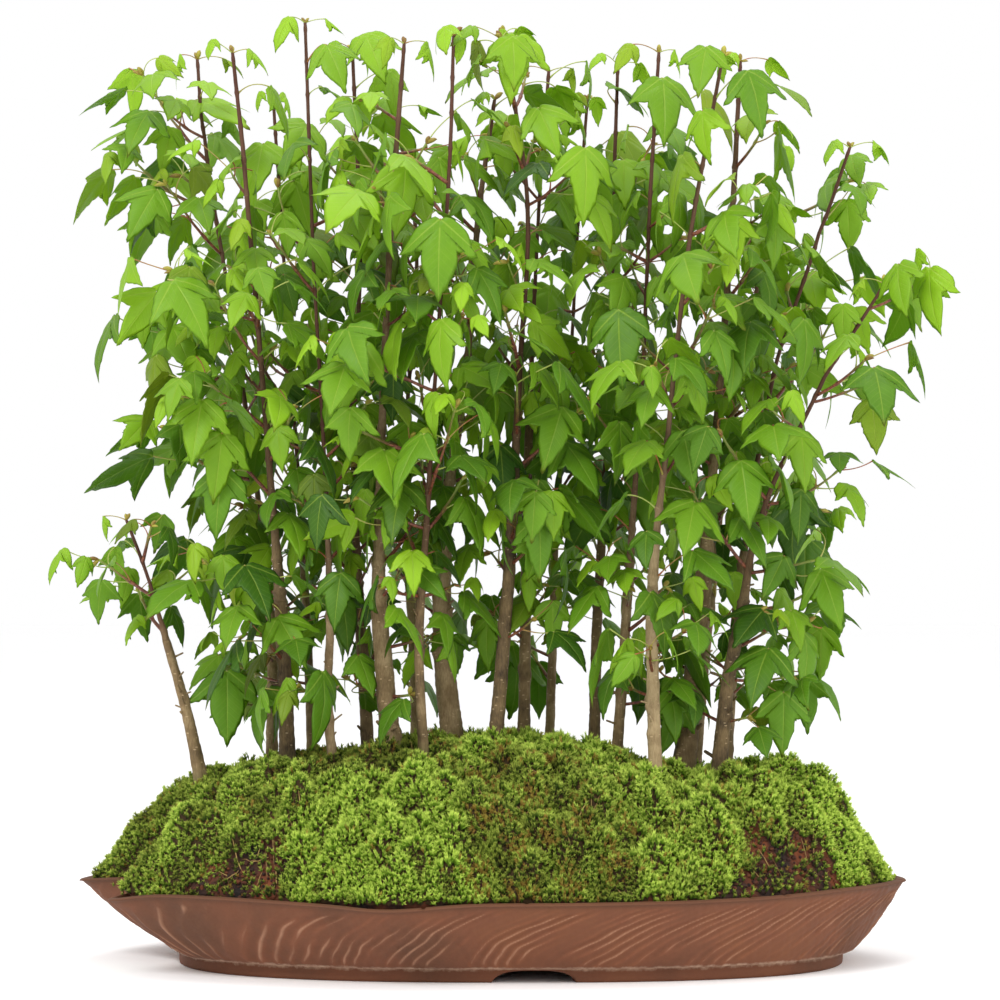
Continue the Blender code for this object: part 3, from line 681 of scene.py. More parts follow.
def tube(points: np.ndarray, radii: np.ndarray, sides: int) -> tuple[np.ndarray, list[np.ndarray]]:
    """A round tube with closed, slightly domed ends.

    Args:
        points: Centre line, one row a ring.
        radii: Radius at each ring.
        sides: Points round a ring.

    Returns:
        Points and arrays of faces.
    """
    points = np.asarray(points, dtype=np.float64)
    ways = np.gradient(points, axis=0)
    ways /= np.linalg.norm(ways, axis=1, keepdims=True)
    start = np.array([1.0, 0.0, 0.0]) if abs(ways[0][0]) < 0.8 else np.array([0.0, 1.0, 0.0])
    turns = np.arange(sides) * FULL_TURN / sides
    rings = []
    for centre, way, radius in zip(points, ways, radii):
        start = start - way * start.dot(way)
        start /= np.linalg.norm(start)
        across = np.cross(way, start)
        rings.append(centre + radius * (np.cos(turns)[:, None] * start + np.sin(turns)[:, None] * across))
    ends = [points[0] - ways[0] * radii[0] * 0.3, points[-1] + ways[-1] * radii[-1] * 0.6]
    count = len(points) * sides
    side = np.arange(sides)
    after = (side + 1) % sides
    low = np.stack([after, side, np.full(sides, count)], axis=-1)
    last = count - sides
    high = np.stack([last + side, last + after, np.full(sides, count + 1)], axis=-1)
    return np.vstack(rings + [np.array(ends)]), [ring_faces(len(points), sides), np.vstack([low, high])]


def ripple(x: np.ndarray, y: np.ndarray, size: float, seed: int, waves: int = 7) -> np.ndarray:
    """Smooth wandering value over a plane, a sum of slanting waves.

    Args:
        x: First coordinate.
        y: Second coordinate.
        size: Usual length of a wave, in the coordinates' unit.
        seed: Picks the waves.
        waves: How many are summed.

    Returns:
        A value of about minus one to one at each point.
    """
    rng = np.random.default_rng(seed)
    total = np.zeros(np.broadcast(x, y).shape)
    for _ in range(waves):
        angle, phase = rng.uniform(0, FULL_TURN, 2)
        pitch = FULL_TURN / (size * rng.uniform(0.6, 1.7))
        total = total + np.sin((x * math.cos(angle) + y * math.sin(angle)) * pitch + phase)
    return total / math.sqrt(waves * 0.9)


# ------------------------------------------------------------------------------ tray and mound shape
@dataclass
class TrayForm:
    """Sizes and outline that the tray, the soil and the moss share."""

    length: float = 0.502
    width: float = 0.308
    height: float = 0.048
    wall: float = 0.0070
    floor: float = 0.0080
    foot_length: float = 0.402
    foot_width: float = 0.236
    foot_height: float = 0.0075
    foot_wall: float = 0.0120
    foot_shift: float = 0.012
    notch_width: float = 0.048
    notch_top: float = 0.030
    notch_x: float = 0.025
    drain_hole: float = 0.018
    drain_spacing: float = 0.210
    mound_height: float = 0.136
    moss_depth: float = 0.009
    fine: int = 56
    rim: tuple[tuple[float, float, float], ...] = (
        (1.00, -0.05, 2.0), (0.94, 0.25, 1.0), (0.78, 0.56, 0.0), (0.55, 0.79, -1.0),
        (0.26, 0.95, 0.0), (-0.03, 1.00, 0.5), (-0.33, 0.95, -0.5), (-0.60, 0.80, -1.5),
        (-0.81, 0.55, 0.0), (-0.94, 0.26, 1.0), (-1.00, 0.01, 0.5), (-0.89, -0.13, 3.0),
        (-0.775, -0.25, 3.5), (-0.81, -0.42, 1.0), (-0.885, -0.57, -3.0), (-0.77, -0.70, 1.0),
        (-0.60, -0.81, 1.0), (-0.38, -0.93, -1.0), (-0.23, -1.00, -3.0), (-0.04, -0.965, -0.5),
        (0.20, -0.955, 0.0), (0.44, -0.87, 0.0), (0.66, -0.71, 0.5), (0.83, -0.49, 1.5),
        (0.95, -0.25, 1.5))
    crest: tuple[tuple[float, float], ...] = (
        (-1.00, 0.10), (-0.93, 0.30), (-0.84, 0.55), (-0.70, 0.71), (-0.50, 0.83), (-0.37, 0.84),
        (-0.22, 0.92), (-0.08, 0.98), (0.05, 1.00), (0.14, 0.96), (0.27, 0.88), (0.39, 0.76),
        (0.51, 0.73), (0.61, 0.74), (0.73, 0.80), (0.81, 0.72), (0.90, 0.50), (1.00, 0.12))

    def __post_init__(self) -> None:
        """Works out the rings once."""
        knots = np.array([(x * self.length / 2, y * self.width / 2, self.height + lift * MM)
                          for x, y, lift in self.rim])
        self.lip = self.smooth_loop(knots, self.fine)
        reach = self.fine * 5 // 2
        kernel = np.ones(2 * reach + 1) / (2 * reach + 1)
        wide = np.vstack([self.lip[-reach:], self.lip, self.lip[:reach]])
        self.soft = np.stack([np.convolve(wide[:, a], kernel, "valid") for a in range(3)], axis=1)
        along = np.roll(self.soft, -4, axis=0) - np.roll(self.soft, 4, axis=0)
        inward = np.stack([-along[:, 1], along[:, 0], np.zeros(len(along))], axis=1)
        self.inward = inward / np.linalg.norm(inward, axis=1, keepdims=True)
        edge = self.inside(0.97)
        angles = np.arctan2(edge[:, 1], edge[:, 0])
        order = np.argsort(angles)
        self.angles, self.radii = angles[order], np.hypot(edge[:, 0], edge[:, 1])[order]
        low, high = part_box("tray")
        outer = self.lip[:, :2]
        middle = (outer.min(axis=0) + outer.max(axis=0)) / 2
        self.shift = np.array([(low.x + high.x) / 2 - middle[0], (low.y + high.y) / 2 - middle[1], low.z])

    @staticmethod
    def smooth_loop(knots: np.ndarray, steps: int) -> np.ndarray:
        """Points on a closed smooth curve.

        Args:
            knots: Points that the curve goes through.
            steps: Points for each knot.

        Returns:
            The curve's points.
        """
        before, after, later = (np.roll(knots, shift, axis=0) for shift in (1, -1, -2))
        t = (np.arange(steps) / steps)[None, :, None]
        a, b, c, d = (k[:, None, :] for k in (before, knots, after, later))
        curve = 0.5 * (2 * b + (c - a) * t + (2 * a - 5 * b + 4 * c - d) * t ** 2
                       + (3 * b - a - 3 * c + d) * t ** 3)
        return curve.reshape(-1, 3)

    def foot(self, grow: float = 0.0) -> np.ndarray:
        """The foot's oval, one point for each point of the lip.

        Args:
            grow: How far the oval stands outside the foot.

        Returns:
            The oval at height zero.
        """
        angle = np.arctan2(self.soft[:, 1] / self.width, self.soft[:, 0] / self.length)
        c, s = np.cos(angle), np.sin(angle)
        square = (np.abs(c) ** 2.5 + np.abs(s) ** 2.5) ** (-1 / 2.5)
        return np.stack([self.foot_shift + (self.foot_length / 2 + grow) * c * square,
                         (self.foot_width / 2 + grow) * s * square, np.zeros(len(c))], axis=1)

    def outside(self, share: float) -> np.ndarray:
        """Ring of the outer wall at a share of the height between foot and lip.

        Args:
            share: The share of the height.

        Returns:
            The ring's points.
        """
        body = self.foot(0.004)
        flat = body + (self.soft - body) * share ** 0.72 + (self.lip - self.soft) * share ** 0.65
        z = self.foot_height + (self.lip[:, 2] - self.foot_height) * share
        return np.stack([flat[:, 0], flat[:, 1], z], axis=1)

    def inside(self, share: float, gap: float = 0.0) -> np.ndarray:
        """Ring of the inner wall at a share of the height, moved in by a gap.

        Args:
            share: The share of the height.
            gap: How far inside the wall the ring stands.

        Returns:
            The ring's points.
        """
        return self.outside(share) + self.inward * (self.wall + gap)

    def edge(self, x: np.ndarray, y: np.ndarray) -> np.ndarray:
        """Share of the way from the tray's middle to its inner edge.

        Args:
            x: Places along the tray.
            y: Places across it.

        Returns:
            The share at each place.
        """
        reach = np.interp(np.arctan2(y, x), self.angles, self.radii, period=FULL_TURN)
        return np.hypot(x, y) / reach

    def mound(self, x: np.ndarray, y: np.ndarray) -> np.ndarray:
        """Height of the soil under the moss.

        Args:
            x: Places along the tray.
            y: Places across it.

        Returns:
            The height at each place.
        """
        x, y = np.asarray(x, dtype=float), np.asarray(y, dtype=float)
        edge = np.minimum(self.edge(x, y), 1.0)
        lengthways = np.abs(np.cos(np.arctan2(y / self.width, x / self.length))) ** 4
        share = np.interp(x / (self.length / 2), [c[0] for c in self.crest], [c[1] for c in self.crest])
        low = self.foot_height + (self.height - self.foot_height) * 0.90 + 0.002
        rise = (self.mound_height - self.moss_depth - low) * share
        return low + rise * (1.0 - edge ** (2.3 + 11.0 * lengthways))


# ------------------------------------------------------------------------------ tray
class Slot(Enum):
    """Material slots of the record."""

    CLAY = "clay"
    SOIL = "soil"
    MOSS_BRIGHT = "moss_bright"
    MOSS_DEEP = "moss_deep"
    BARK = "bark"
    LEAF = "leaf"
    SCREEN = "screen_plastic"


def place(piece: bpy.types.Object, nodes: Sequence[str], slot: Slot) -> bpy.types.Object:
    """Puts a finished piece on the body in the place of its CAD nodes.

    Args:
        piece: The finished piece.
        nodes: CAD nodes that it stands for.
        slot: Its material slot; not used.

    Returns:
        The piece.
    """
    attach(piece, "root")
    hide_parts(*nodes)
    log.info("%s: %d faces for %s", piece.name, len(piece.data.polygons), ", ".join(nodes))
    return piece


@dataclass
class ClayTray:
    """The tray: a gouged wall under a thin rolled lip, on a plain foot with an arch at front and back."""

    form: TrayForm
    finish: bpy.types.Material
    levels: int = 44
    gouge_mm: float = 8.2
    gouge_deep: float = 0.0017
    lip_out: float = 0.0006
    hole_sides: int = 40

    def arch(self, x: np.ndarray) -> np.ndarray:
        """Height of the arch cut in the foot.

        Args:
            x: Places along the foot.

        Returns:
            Height of the foot's underside at each.
        """
        f = self.form
        across = np.clip(np.abs(x - f.notch_x) / (f.notch_width / 2), 0.0, 1.0)
        return (f.foot_height - 0.0007) * np.clip(1.0 - across ** 3.2, 0.0, 1.0) ** 0.6

    def gouges(self, share: float) -> tuple[np.ndarray, np.ndarray]:
        """Depth of the gouge marks round one ring of the wall.

        Args:
            share: The ring's share of the height.

        Returns:
            Depth in metres and how near each point is to a ridge.
        """
        f = self.form
        ring = f.outside(share)
        steps = np.linalg.norm(np.roll(f.soft, -1, axis=0) - f.soft, axis=1)
        along = np.cumsum(steps) / MM
        up = share * (f.height - f.foot_height) / MM
        x, z = ring[:, 0] / MM, np.full(len(ring), up)
        fan = 0.35 + 1.35 * np.clip((x + 205.0) / 190.0, 0.0, 1.0)
        curl = z * fan * (0.72 + 0.011 * z)
        sway = 3.2 * ripple(along, z * 1.2, 70.0, 11) + 0.5 * ripple(along, z * 2.0, 24.0, 12)
        phase = (along - curl + sway) / self.gouge_mm
        turn = phase - np.floor(phase)
        crest = np.abs(2.0 * turn - 1.0)
        lasting = np.clip(0.55 + 0.75 * ripple(along - curl, z * 1.1, 30.0, 13), 0.08, 1.0)
        fade = np.clip((share - 0.02) / 0.10, 0.0, 1.0) * np.clip((0.93 - share) / 0.12, 0.0, 1.0)
        depth = self.gouge_deep * (1.0 - crest ** 4) * (0.65 + 0.35 * turn) * lasting * fade
        return depth, crest ** 2.6 * lasting * fade

    def build(self) -> bpy.types.Object:
        """Builds the tray.

        Returns:
            The piece.
        """
        f = self.form
        pile = Pile("ridge", "lip", "seam")
        none = np.zeros(len(f.lip))
        inner_foot = f.foot() + f.inward * f.foot_wall
        rings: list[tuple[np.ndarray, np.ndarray, float, float]] = []

        def level(flat: np.ndarray, z: object, ridge: np.ndarray = none, lip: float = 0.0,
                  seam: float = 0.0) -> None:
            """Adds one ring of the tray.

            Args:
                flat: The ring seen from above.
                z: Its height, one for all or one for each point.
                ridge: How near each point is to a ridge.
                lip: How far the ring belongs to the lip.
                seam: How far it belongs to the joint of wall and foot.
            """
            ring = np.array(flat, dtype=float)
            ring[:, 2] = z
            rings.append((ring, ridge, lip, seam))

        roof = f.foot_height - 0.0005
        arch = self.arch(f.foot()[:, 0])
        level(inner_foot, roof)
        level(inner_foot, np.minimum(arch + 0.0006, roof))
        level(f.foot() + f.inward * (f.foot_wall - 0.0008), arch)
        level(f.foot() + f.inward * 0.0012, arch)
        level(f.foot() + f.inward * 0.0003, arch + 0.0005)
        for share in (0.3, 0.6, 0.9):
            level(f.foot(), arch + (f.foot_height - arch) * share, seam=share ** 3)
        level(f.foot() - f.inward * 0.0006, f.foot_height + 0.0003, seam=1.0)
        rough = 0.00018 * ripple(f.soft[:, 0], f.soft[:, 1], 0.007, 14)
        for share in np.linspace(0.03, 0.955, self.levels):
            depth, ridge = self.gouges(float(share))
            ring = f.outside(float(share)) + f.inward * (depth + rough)[:, None]
            level(ring, ring[:, 2], ridge, float(np.clip((share - 0.90) / 0.05, 0.0, 1.0)),
                  float(np.clip(1.0 - (share - 0.03) / 0.07, 0.0, 1.0)))
        chips = np.clip(ripple(f.soft[:, 0], f.soft[:, 1], 0.012, 15) - 1.15, 0.0, 1.0) * 0.0016
        for turn in np.linspace(0.0, math.pi, 9):
            middle = (f.wall + self.lip_out) / 2
            reach = middle - middle * math.cos(turn) - self.lip_out
            lift = -0.0016 + 0.0016 * math.sin(turn)
            level(f.lip + f.inward * reach, f.lip[:, 2] + lift - chips * math.sin(turn), lip=1.0)
        for share in (0.9, 0.8, 0.65, 0.5, 0.36):
            ring = f.inside(share)
            level(ring, ring[:, 2])
        level(f.inside(0.24), f.foot_height + f.floor)
        sides = len(none)
        pile.add(np.vstack([r[0] for r in rings]), [ring_faces(len(rings), sides)],
                 ridge=np.concatenate([r[1] for r in rings]),
                 lip=np.repeat([r[2] for r in rings], sides),
                 seam=np.repeat([r[3] for r in rings], sides))
        self.add_floor(pile, rings[0][0], rings[-1][0])
        pile.shift(f.shift)
        return place(pile.build("tray_carved", self.finish), ["tray"], Slot.CLAY)

    def add_floor(self, pile: Pile, under: np.ndarray, upper: np.ndarray) -> None:
        """Adds the floor's two faces and the walls of its drain holes.

        Args:
            pile: Pile to add to.
            under: Edge of the underside.
            upper: Edge of the inside.
        """
        f = self.form
        turns = np.arange(self.hole_sides) * FULL_TURN / self.hole_sides
        holes = []
        for x in (-f.drain_spacing / 2, f.drain_spacing / 2):
            holes.append((x + np.cos(turns) * f.drain_hole / 2, np.sin(turns) * f.drain_hole / 2))
        quiet = {"ridge": 0.0, "lip": 0.0, "seam": 0.0}
        for edge, facing in ((under, -1), (upper, 1)):
            z = float(edge[0, 2])
            loops = [edge] + [np.stack([x, y, np.full(len(x), z)], axis=1) for x, y in holes]
            flat = tessellate_polygon([[Vector(p) for p in loop] for loop in loops])
            points, faces = np.vstack(loops), np.array(flat)
            a, b, c = (points[faces[:, k]] for k in range(3))
            area = np.cross(b - a, c - a)[:, 2] * facing
            faces[area < 0] = faces[area < 0][:, ::-1]
            pile.add(points, [faces], **quiet)
        for x, y in holes:
            low, high = (np.stack([x, y, np.full(len(x), edge[0, 2])], axis=1) for edge in (under, upper))
            pile.add(np.vstack([low, high]), [ring_faces(2, len(x))[:, ::-1]], **quiet)


# ------------------------------------------------------------------------------ soil and moss
@dataclass(frozen=True)
class Pad:
    """One clump of moss: its centre as shares of the half length and width, and its growth."""

    name: str
    x: float
    y: float
    thick: float
    tone: float = 0.0
    dry: float = 0.05
    tall: float = 1.0
    slot: Slot = Slot.MOSS_DEEP


@dataclass
class Ground:
    """The surface of soil and moss that everything grows from."""

    form: TrayForm
    pads: tuple[Pad, ...] = (
        Pad("left_end", -0.83, 0.02, 1.0, 0.30, 0.04, 0.9),
        Pad("left_front", -0.60, -0.36, 1.1, 0.42, 0.04, 0.9, Slot.MOSS_BRIGHT),
        Pad("left_back", -0.45, 0.48, 0.9, 0.10, 0.05, 0.8),
        Pad("front_clump", -0.26, -0.74, 1.3, 0.80, 0.02, 1.1, Slot.MOSS_BRIGHT),
        Pad("left_middle", -0.34, -0.16, 1.0, 0.16, 0.12, 1.0),
        Pad("crest", 0.04, 0.06, 1.0, 0.68, 0.05, 1.15, Slot.MOSS_BRIGHT),
        Pad("front_middle", 0.12, -0.66, 1.0, 0.28, 0.26, 1.1),
        Pad("front_right", 0.42, -0.42, 1.1, 0.60, 0.08, 1.1, Slot.MOSS_BRIGHT),
        Pad("back_middle", 0.10, 0.66, 0.9, 0.30, 0.06, 1.0),
        Pad("right_hump", 0.75, -0.04, 1.4, 0.85, 0.03, 0.9, Slot.MOSS_BRIGHT),
        Pad("back_right", 0.50, 0.50, 0.9, 0.30, 0.06, 1.0),
        Pad("", -0.56, -0.92, 0.0), Pad("", 0.72, -0.74, 0.0))
    valley: float = 0.010
    bare_shrink: float = 0.011
    cushion: float = 0.0048

    def __post_init__(self) -> None:
        """Works out where the clumps stand."""
        half = np.array([self.form.length / 2, self.form.width / 2])
        self.centres = np.array([(p.x, p.y) for p in self.pads]) * half
        self.thicks = np.array([p.thick for p in self.pads])

    def distances(self, x: np.ndarray, y: np.ndarray) -> np.ndarray:
        """Distance from each place to each clump's centre, swayed so that their borders wander.

        Args:
            x: Places along the tray.
            y: Places across it.

        Returns:
            One distance for each place and clump.
        """
        far = np.hypot(x[..., None] - self.centres[:, 0], y[..., None] - self.centres[:, 1])
        sway = [0.0055 * ripple(x, y, 0.034, 200 + k) + 0.0020 * ripple(x, y, 0.011, 230 + k)
                for k in range(len(self.pads))]
        return far + np.stack(sway, axis=-1) + np.where(self.thicks == 0.0, self.bare_shrink, 0.0)

    def nearest(self, x: np.ndarray, y: np.ndarray) -> tuple[np.ndarray, np.ndarray]:
        """Which clump holds each place.

        Args:
            x: Places along the tray.
            y: Places across it.

        Returns:
            The clump's number, and how far the place is from the next clump's ground.
        """
        far = self.distances(x, y)
        order = np.sort(far, axis=-1)
        return np.argmin(far, axis=-1), order[..., 1] - order[..., 0]

    def blended(self, x: np.ndarray, y: np.ndarray, values: Sequence[float], reach: float) -> np.ndarray:
        """A value of the clumps, running smoothly from one to the next.

        Args:
            x: Places along the tray.
            y: Places across it.
            values: The value of each clump.
            reach: How far one clump shades into the next.

        Returns:
            The value at each place.
        """
        far = self.distances(x, y)
        weights = np.exp(-(far - far.min(axis=-1, keepdims=True)) / reach)
        return (weights * np.array(values)).sum(axis=-1) / weights.sum(axis=-1)

    def pit(self, x: np.ndarray, y: np.ndarray) -> np.ndarray:
        """How deep a pit between shoots is at each place, from zero to one; the moss there gets painted
        shade.

        Args:
            x: Places along the tray.
            y: Places across it.

        Returns:
            The depth at each place.
        """
        return np.clip(ripple(x, y, 0.026, 26) - 0.75, 0.0, 0.7) / 0.7

    def top(self, x: np.ndarray, y: np.ndarray) -> np.ndarray:
        """Height of the moss cushion, or of the soil where it is bare.

        Args:
            x: Places along the tray.
            y: Places across it.

        Returns:
            The height at each place.
        """
        _, apart = self.nearest(x, y)
        thick = self.blended(x, y, self.thicks, 0.004)
        full = np.clip(apart / self.valley, 0.0, 1.0)
        swell = 0.66 + 0.34 * np.sin(full * math.pi / 2)
        rim = np.clip((1.0 - self.form.edge(x, y)) / 0.16, 0.0, 1.0) ** 0.7
        bumps = 0.0038 * ripple(x, y, 0.034, 23) + 0.0028 * ripple(x, y, 0.014, 24)
        sunk = 0.0070 * self.pit(x, y)
        moss = self.cushion * thick * swell * rim
        moss = moss + (bumps - sunk) * np.minimum(thick, 1.0) * rim
        crumbs = 0.0007 * ripple(x, y, 0.005, 25) * np.clip(1.0 - thick * 2.0, 0.0, 1.0)
        return self.form.mound(x, y) + np.maximum(moss, -0.003) + crumbs

    def lean(self, x: np.ndarray, y: np.ndarray) -> np.ndarray:
        """Direction that the surface faces at each place.

        Args:
            x: Places along the tray.
            y: Places across it.

        Returns:
            One unit direction for each place.
        """
        step = 0.002
        slope_x = (self.top(x + step, y) - self.top(x - step, y)) / (2 * step)
        slope_y = (self.top(x, y + step) - self.top(x, y - step)) / (2 * step)
        facing = np.stack([-slope_x, -slope_y, np.ones_like(slope_x)], axis=-1)
        return facing / np.linalg.norm(facing, axis=-1, keepdims=True)

    def scatter(self, spacing: float, seed: int, edge: float = 0.985) -> tuple[np.ndarray, np.ndarray]:
        """Even, jittered places over the whole tray.

        Args:
            spacing: Usual distance between places.
            seed: Picks the jitter.
            edge: Share of the way to the tray's wall that is reached.

        Returns:
            The places along and across the tray.
        """
        rng = np.random.default_rng(seed)
        along = np.arange(-self.form.length / 2, self.form.length / 2, spacing)
        across = np.arange(-self.form.width / 2, self.form.width / 2, spacing)
        x, y = (g.reshape(-1) for g in np.meshgrid(along, across))
        x = x + rng.uniform(-0.55, 0.55, len(x)) * spacing
        y = y + rng.uniform(-0.55, 0.55, len(y)) * spacing
        kept = self.form.edge(x, y) < edge
        return x[kept], y[kept]


def grown(template: np.ndarray, roots: np.ndarray, ways: np.ndarray, wide: np.ndarray,
          tall: np.ndarray, spin: np.ndarray) -> np.ndarray:
    """Stands copies of a small shape on a surface.

    Args:
        template: The shape's points, one unit wide and tall.
        roots: Where each copy stands.
        ways: Which way each copy points.
        wide: Width of each copy.
        tall: Height of each copy.
        spin: Turn of each copy about its own axis.

    Returns:
        All the points, copy after copy.
    """
    side = np.cross(ways, np.array([0.37, 0.93, 0.05]))
    side /= np.linalg.norm(side, axis=1, keepdims=True)
    other = np.cross(ways, side)
    c, s = np.cos(spin)[:, None], np.sin(spin)[:, None]
    side, other = side * c + other * s, other * c - side * s
    flat = template[None, :, :]
    made = (roots[:, None, :] + side[:, None, :] * flat[..., 0:1] * wide[:, None, None]
            + other[:, None, :] * flat[..., 1:2] * wide[:, None, None]
            + ways[:, None, :] * flat[..., 2:3] * tall[:, None, None])
    return made.reshape(-1, 3)


def copied(faces: np.ndarray, corners: int, copies: int) -> np.ndarray:
    """Repeats a shape's faces for each of its copies.

    Args:
        faces: The shape's faces.
        corners: How many points one copy has.
        copies: How many copies there are.

    Returns:
        The faces of all the copies.
    """
    return (faces[None] + (np.arange(copies) * corners)[:, None, None]).reshape(-1, faces.shape[1])


@dataclass
class SoilMound:
    """The potting soil: a crumbly skin with loose granules and dead straw on its bare patches."""

    ground: Ground
    finish: bpy.types.Material
    straw: bpy.types.Material
    grains: int = 5200
    straw_lift: float = 0.0022
    straws: int = 520

    def build(self) -> list[bpy.types.Object]:
        """Builds the soil.

        Returns:
            The mound, its granules and its litter.
        """
        f = self.ground.form
        edge = f.inside(0.9, 0.0004)[::3]
        shares = np.concatenate([np.linspace(1.0, 0.04, 60), [0.004]])
        pile = Pile("tint")
        rings = []
        low = f.inside(0.24, 0.0004)[::3]
        low[:, 2] = f.foot_height + f.floor + 0.0003
        rings.append(low)
        rings.append(f.inside(0.6, 0.0004)[::3])
        for share in shares:
            x, y = edge[:, 0] * share, edge[:, 1] * share
            fade = min(1.0, (1.0 - share) * 30.0)
            z = f.mound(x, y) + 0.0006 * ripple(x, y, 0.004, 31) * fade
            rings.append(np.stack([x, y, z], axis=1))
        points = np.vstack(rings)
        sides = len(edge)
        pile.add(points, [ring_faces(len(rings), sides)],
                 tint=0.5 + 0.4 * ripple(points[:, 0], points[:, 1], 0.02, 32))
        pile.shift(f.shift)
        mound = place(pile.build("soil_skin", self.finish), ["soil_mound"], Slot.SOIL)
        return [mound, self.granules(), self.litter()]

    def granules(self) -> bpy.types.Object:
        """Builds the loose granules.

        Returns:
            The piece.
        """
        rng = np.random.default_rng(33)
        x, y = self.ground.scatter(0.0022, 34, 0.99)
        which, apart = self.ground.nearest(x, y)
        bare = (self.ground.thicks[which] == 0.0) | ((apart < 0.0022) & (rng.random(len(x)) < 0.25))
        x, y = x[bare][:self.grains], y[bare][:self.grains]
        g = (1.0 + math.sqrt(5.0)) / 2.0
        ball = np.array([(-1, g, 0), (1, g, 0), (-1, -g, 0), (1, -g, 0), (0, -1, g), (0, 1, g), (0, -1, -g),
                         (0, 1, -g), (g, 0, -1), (g, 0, 1), (-g, 0, -1), (-g, 0, 1)]) / math.hypot(1.0, g)
        faces = np.array([(0, 11, 5), (0, 5, 1), (0, 1, 7), (0, 7, 10), (0, 10, 11), (1, 5, 9), (5, 11, 4),
                          (11, 10, 2), (10, 7, 6), (7, 1, 8), (3, 9, 4), (3, 4, 2), (3, 2, 6), (3, 6, 8),
                          (3, 8, 9), (4, 9, 5), (2, 4, 11), (6, 2, 10), (8, 6, 7), (9, 8, 1)])
        count = len(x)
        size = rng.uniform(0.0006, 0.0017, count)
        z = self.ground.top(x, y) + size * 0.25
        lumps = ball[None] * rng.uniform(0.72, 1.25, (count, 12, 1))
        ways = rng.normal(size=(count, 3))
        ways /= np.linalg.norm(ways, axis=1, keepdims=True)
        roots = np.stack([x, y, z], axis=1)
        points = roots[:, None, :] + lumps * size[:, None, None] * (1.0 + 0.25 * ways[:, None, :])
        pile = Pile("tint")
        pile.add(points.reshape(-1, 3), [copied(faces, 12, count)], tint=np.repeat(rng.random(count), 12))
        pile.shift(self.ground.form.shift)
        return place(pile.build("soil_granules", self.finish, smooth=False), ["soil_mound"], Slot.SOIL)

    def litter(self) -> bpy.types.Object:
        """Builds the dead needles and straw that lie on soil and moss.

        Returns:
            The piece.
        """
        rng = np.random.default_rng(35)
        x, y = self.ground.scatter(0.004, 36, 0.96)
        which, _ = self.ground.nearest(x, y)
        dry = np.array([p.dry for p in self.ground.pads])[which]
        chance = np.where(self.ground.thicks[which] == 0.0, 0.24, 0.02 + 0.5 * dry)
        picked = rng.random(len(x)) < chance
        pile = Pile("tint")
        for px, py in list(zip(x[picked], y[picked]))[:self.straws]:
            angle, length = rng.uniform(0, FULL_TURN), rng.uniform(0.004, 0.012)
            along = np.linspace(-0.5, 0.5, 5) * length
            lx, ly = px + along * math.cos(angle), py + along * math.sin(angle)
            lz = (self.ground.top(lx, ly) + self.straw_lift * rng.uniform(0.3, 1.3)
                  + rng.uniform(-0.12, 0.12) * along)
            thick = rng.uniform(0.00018, 0.0004)
            points, faces = tube(np.stack([lx, ly, lz], axis=1), np.array([0.5, 1, 1, 1, 0.4]) * thick, 4)
            pile.add(points, faces, tint=rng.random())
        pile.shift(self.ground.form.shift)
        return place(pile.build("straw_litter", self.straw), ["soil_mound"], Slot.SOIL)


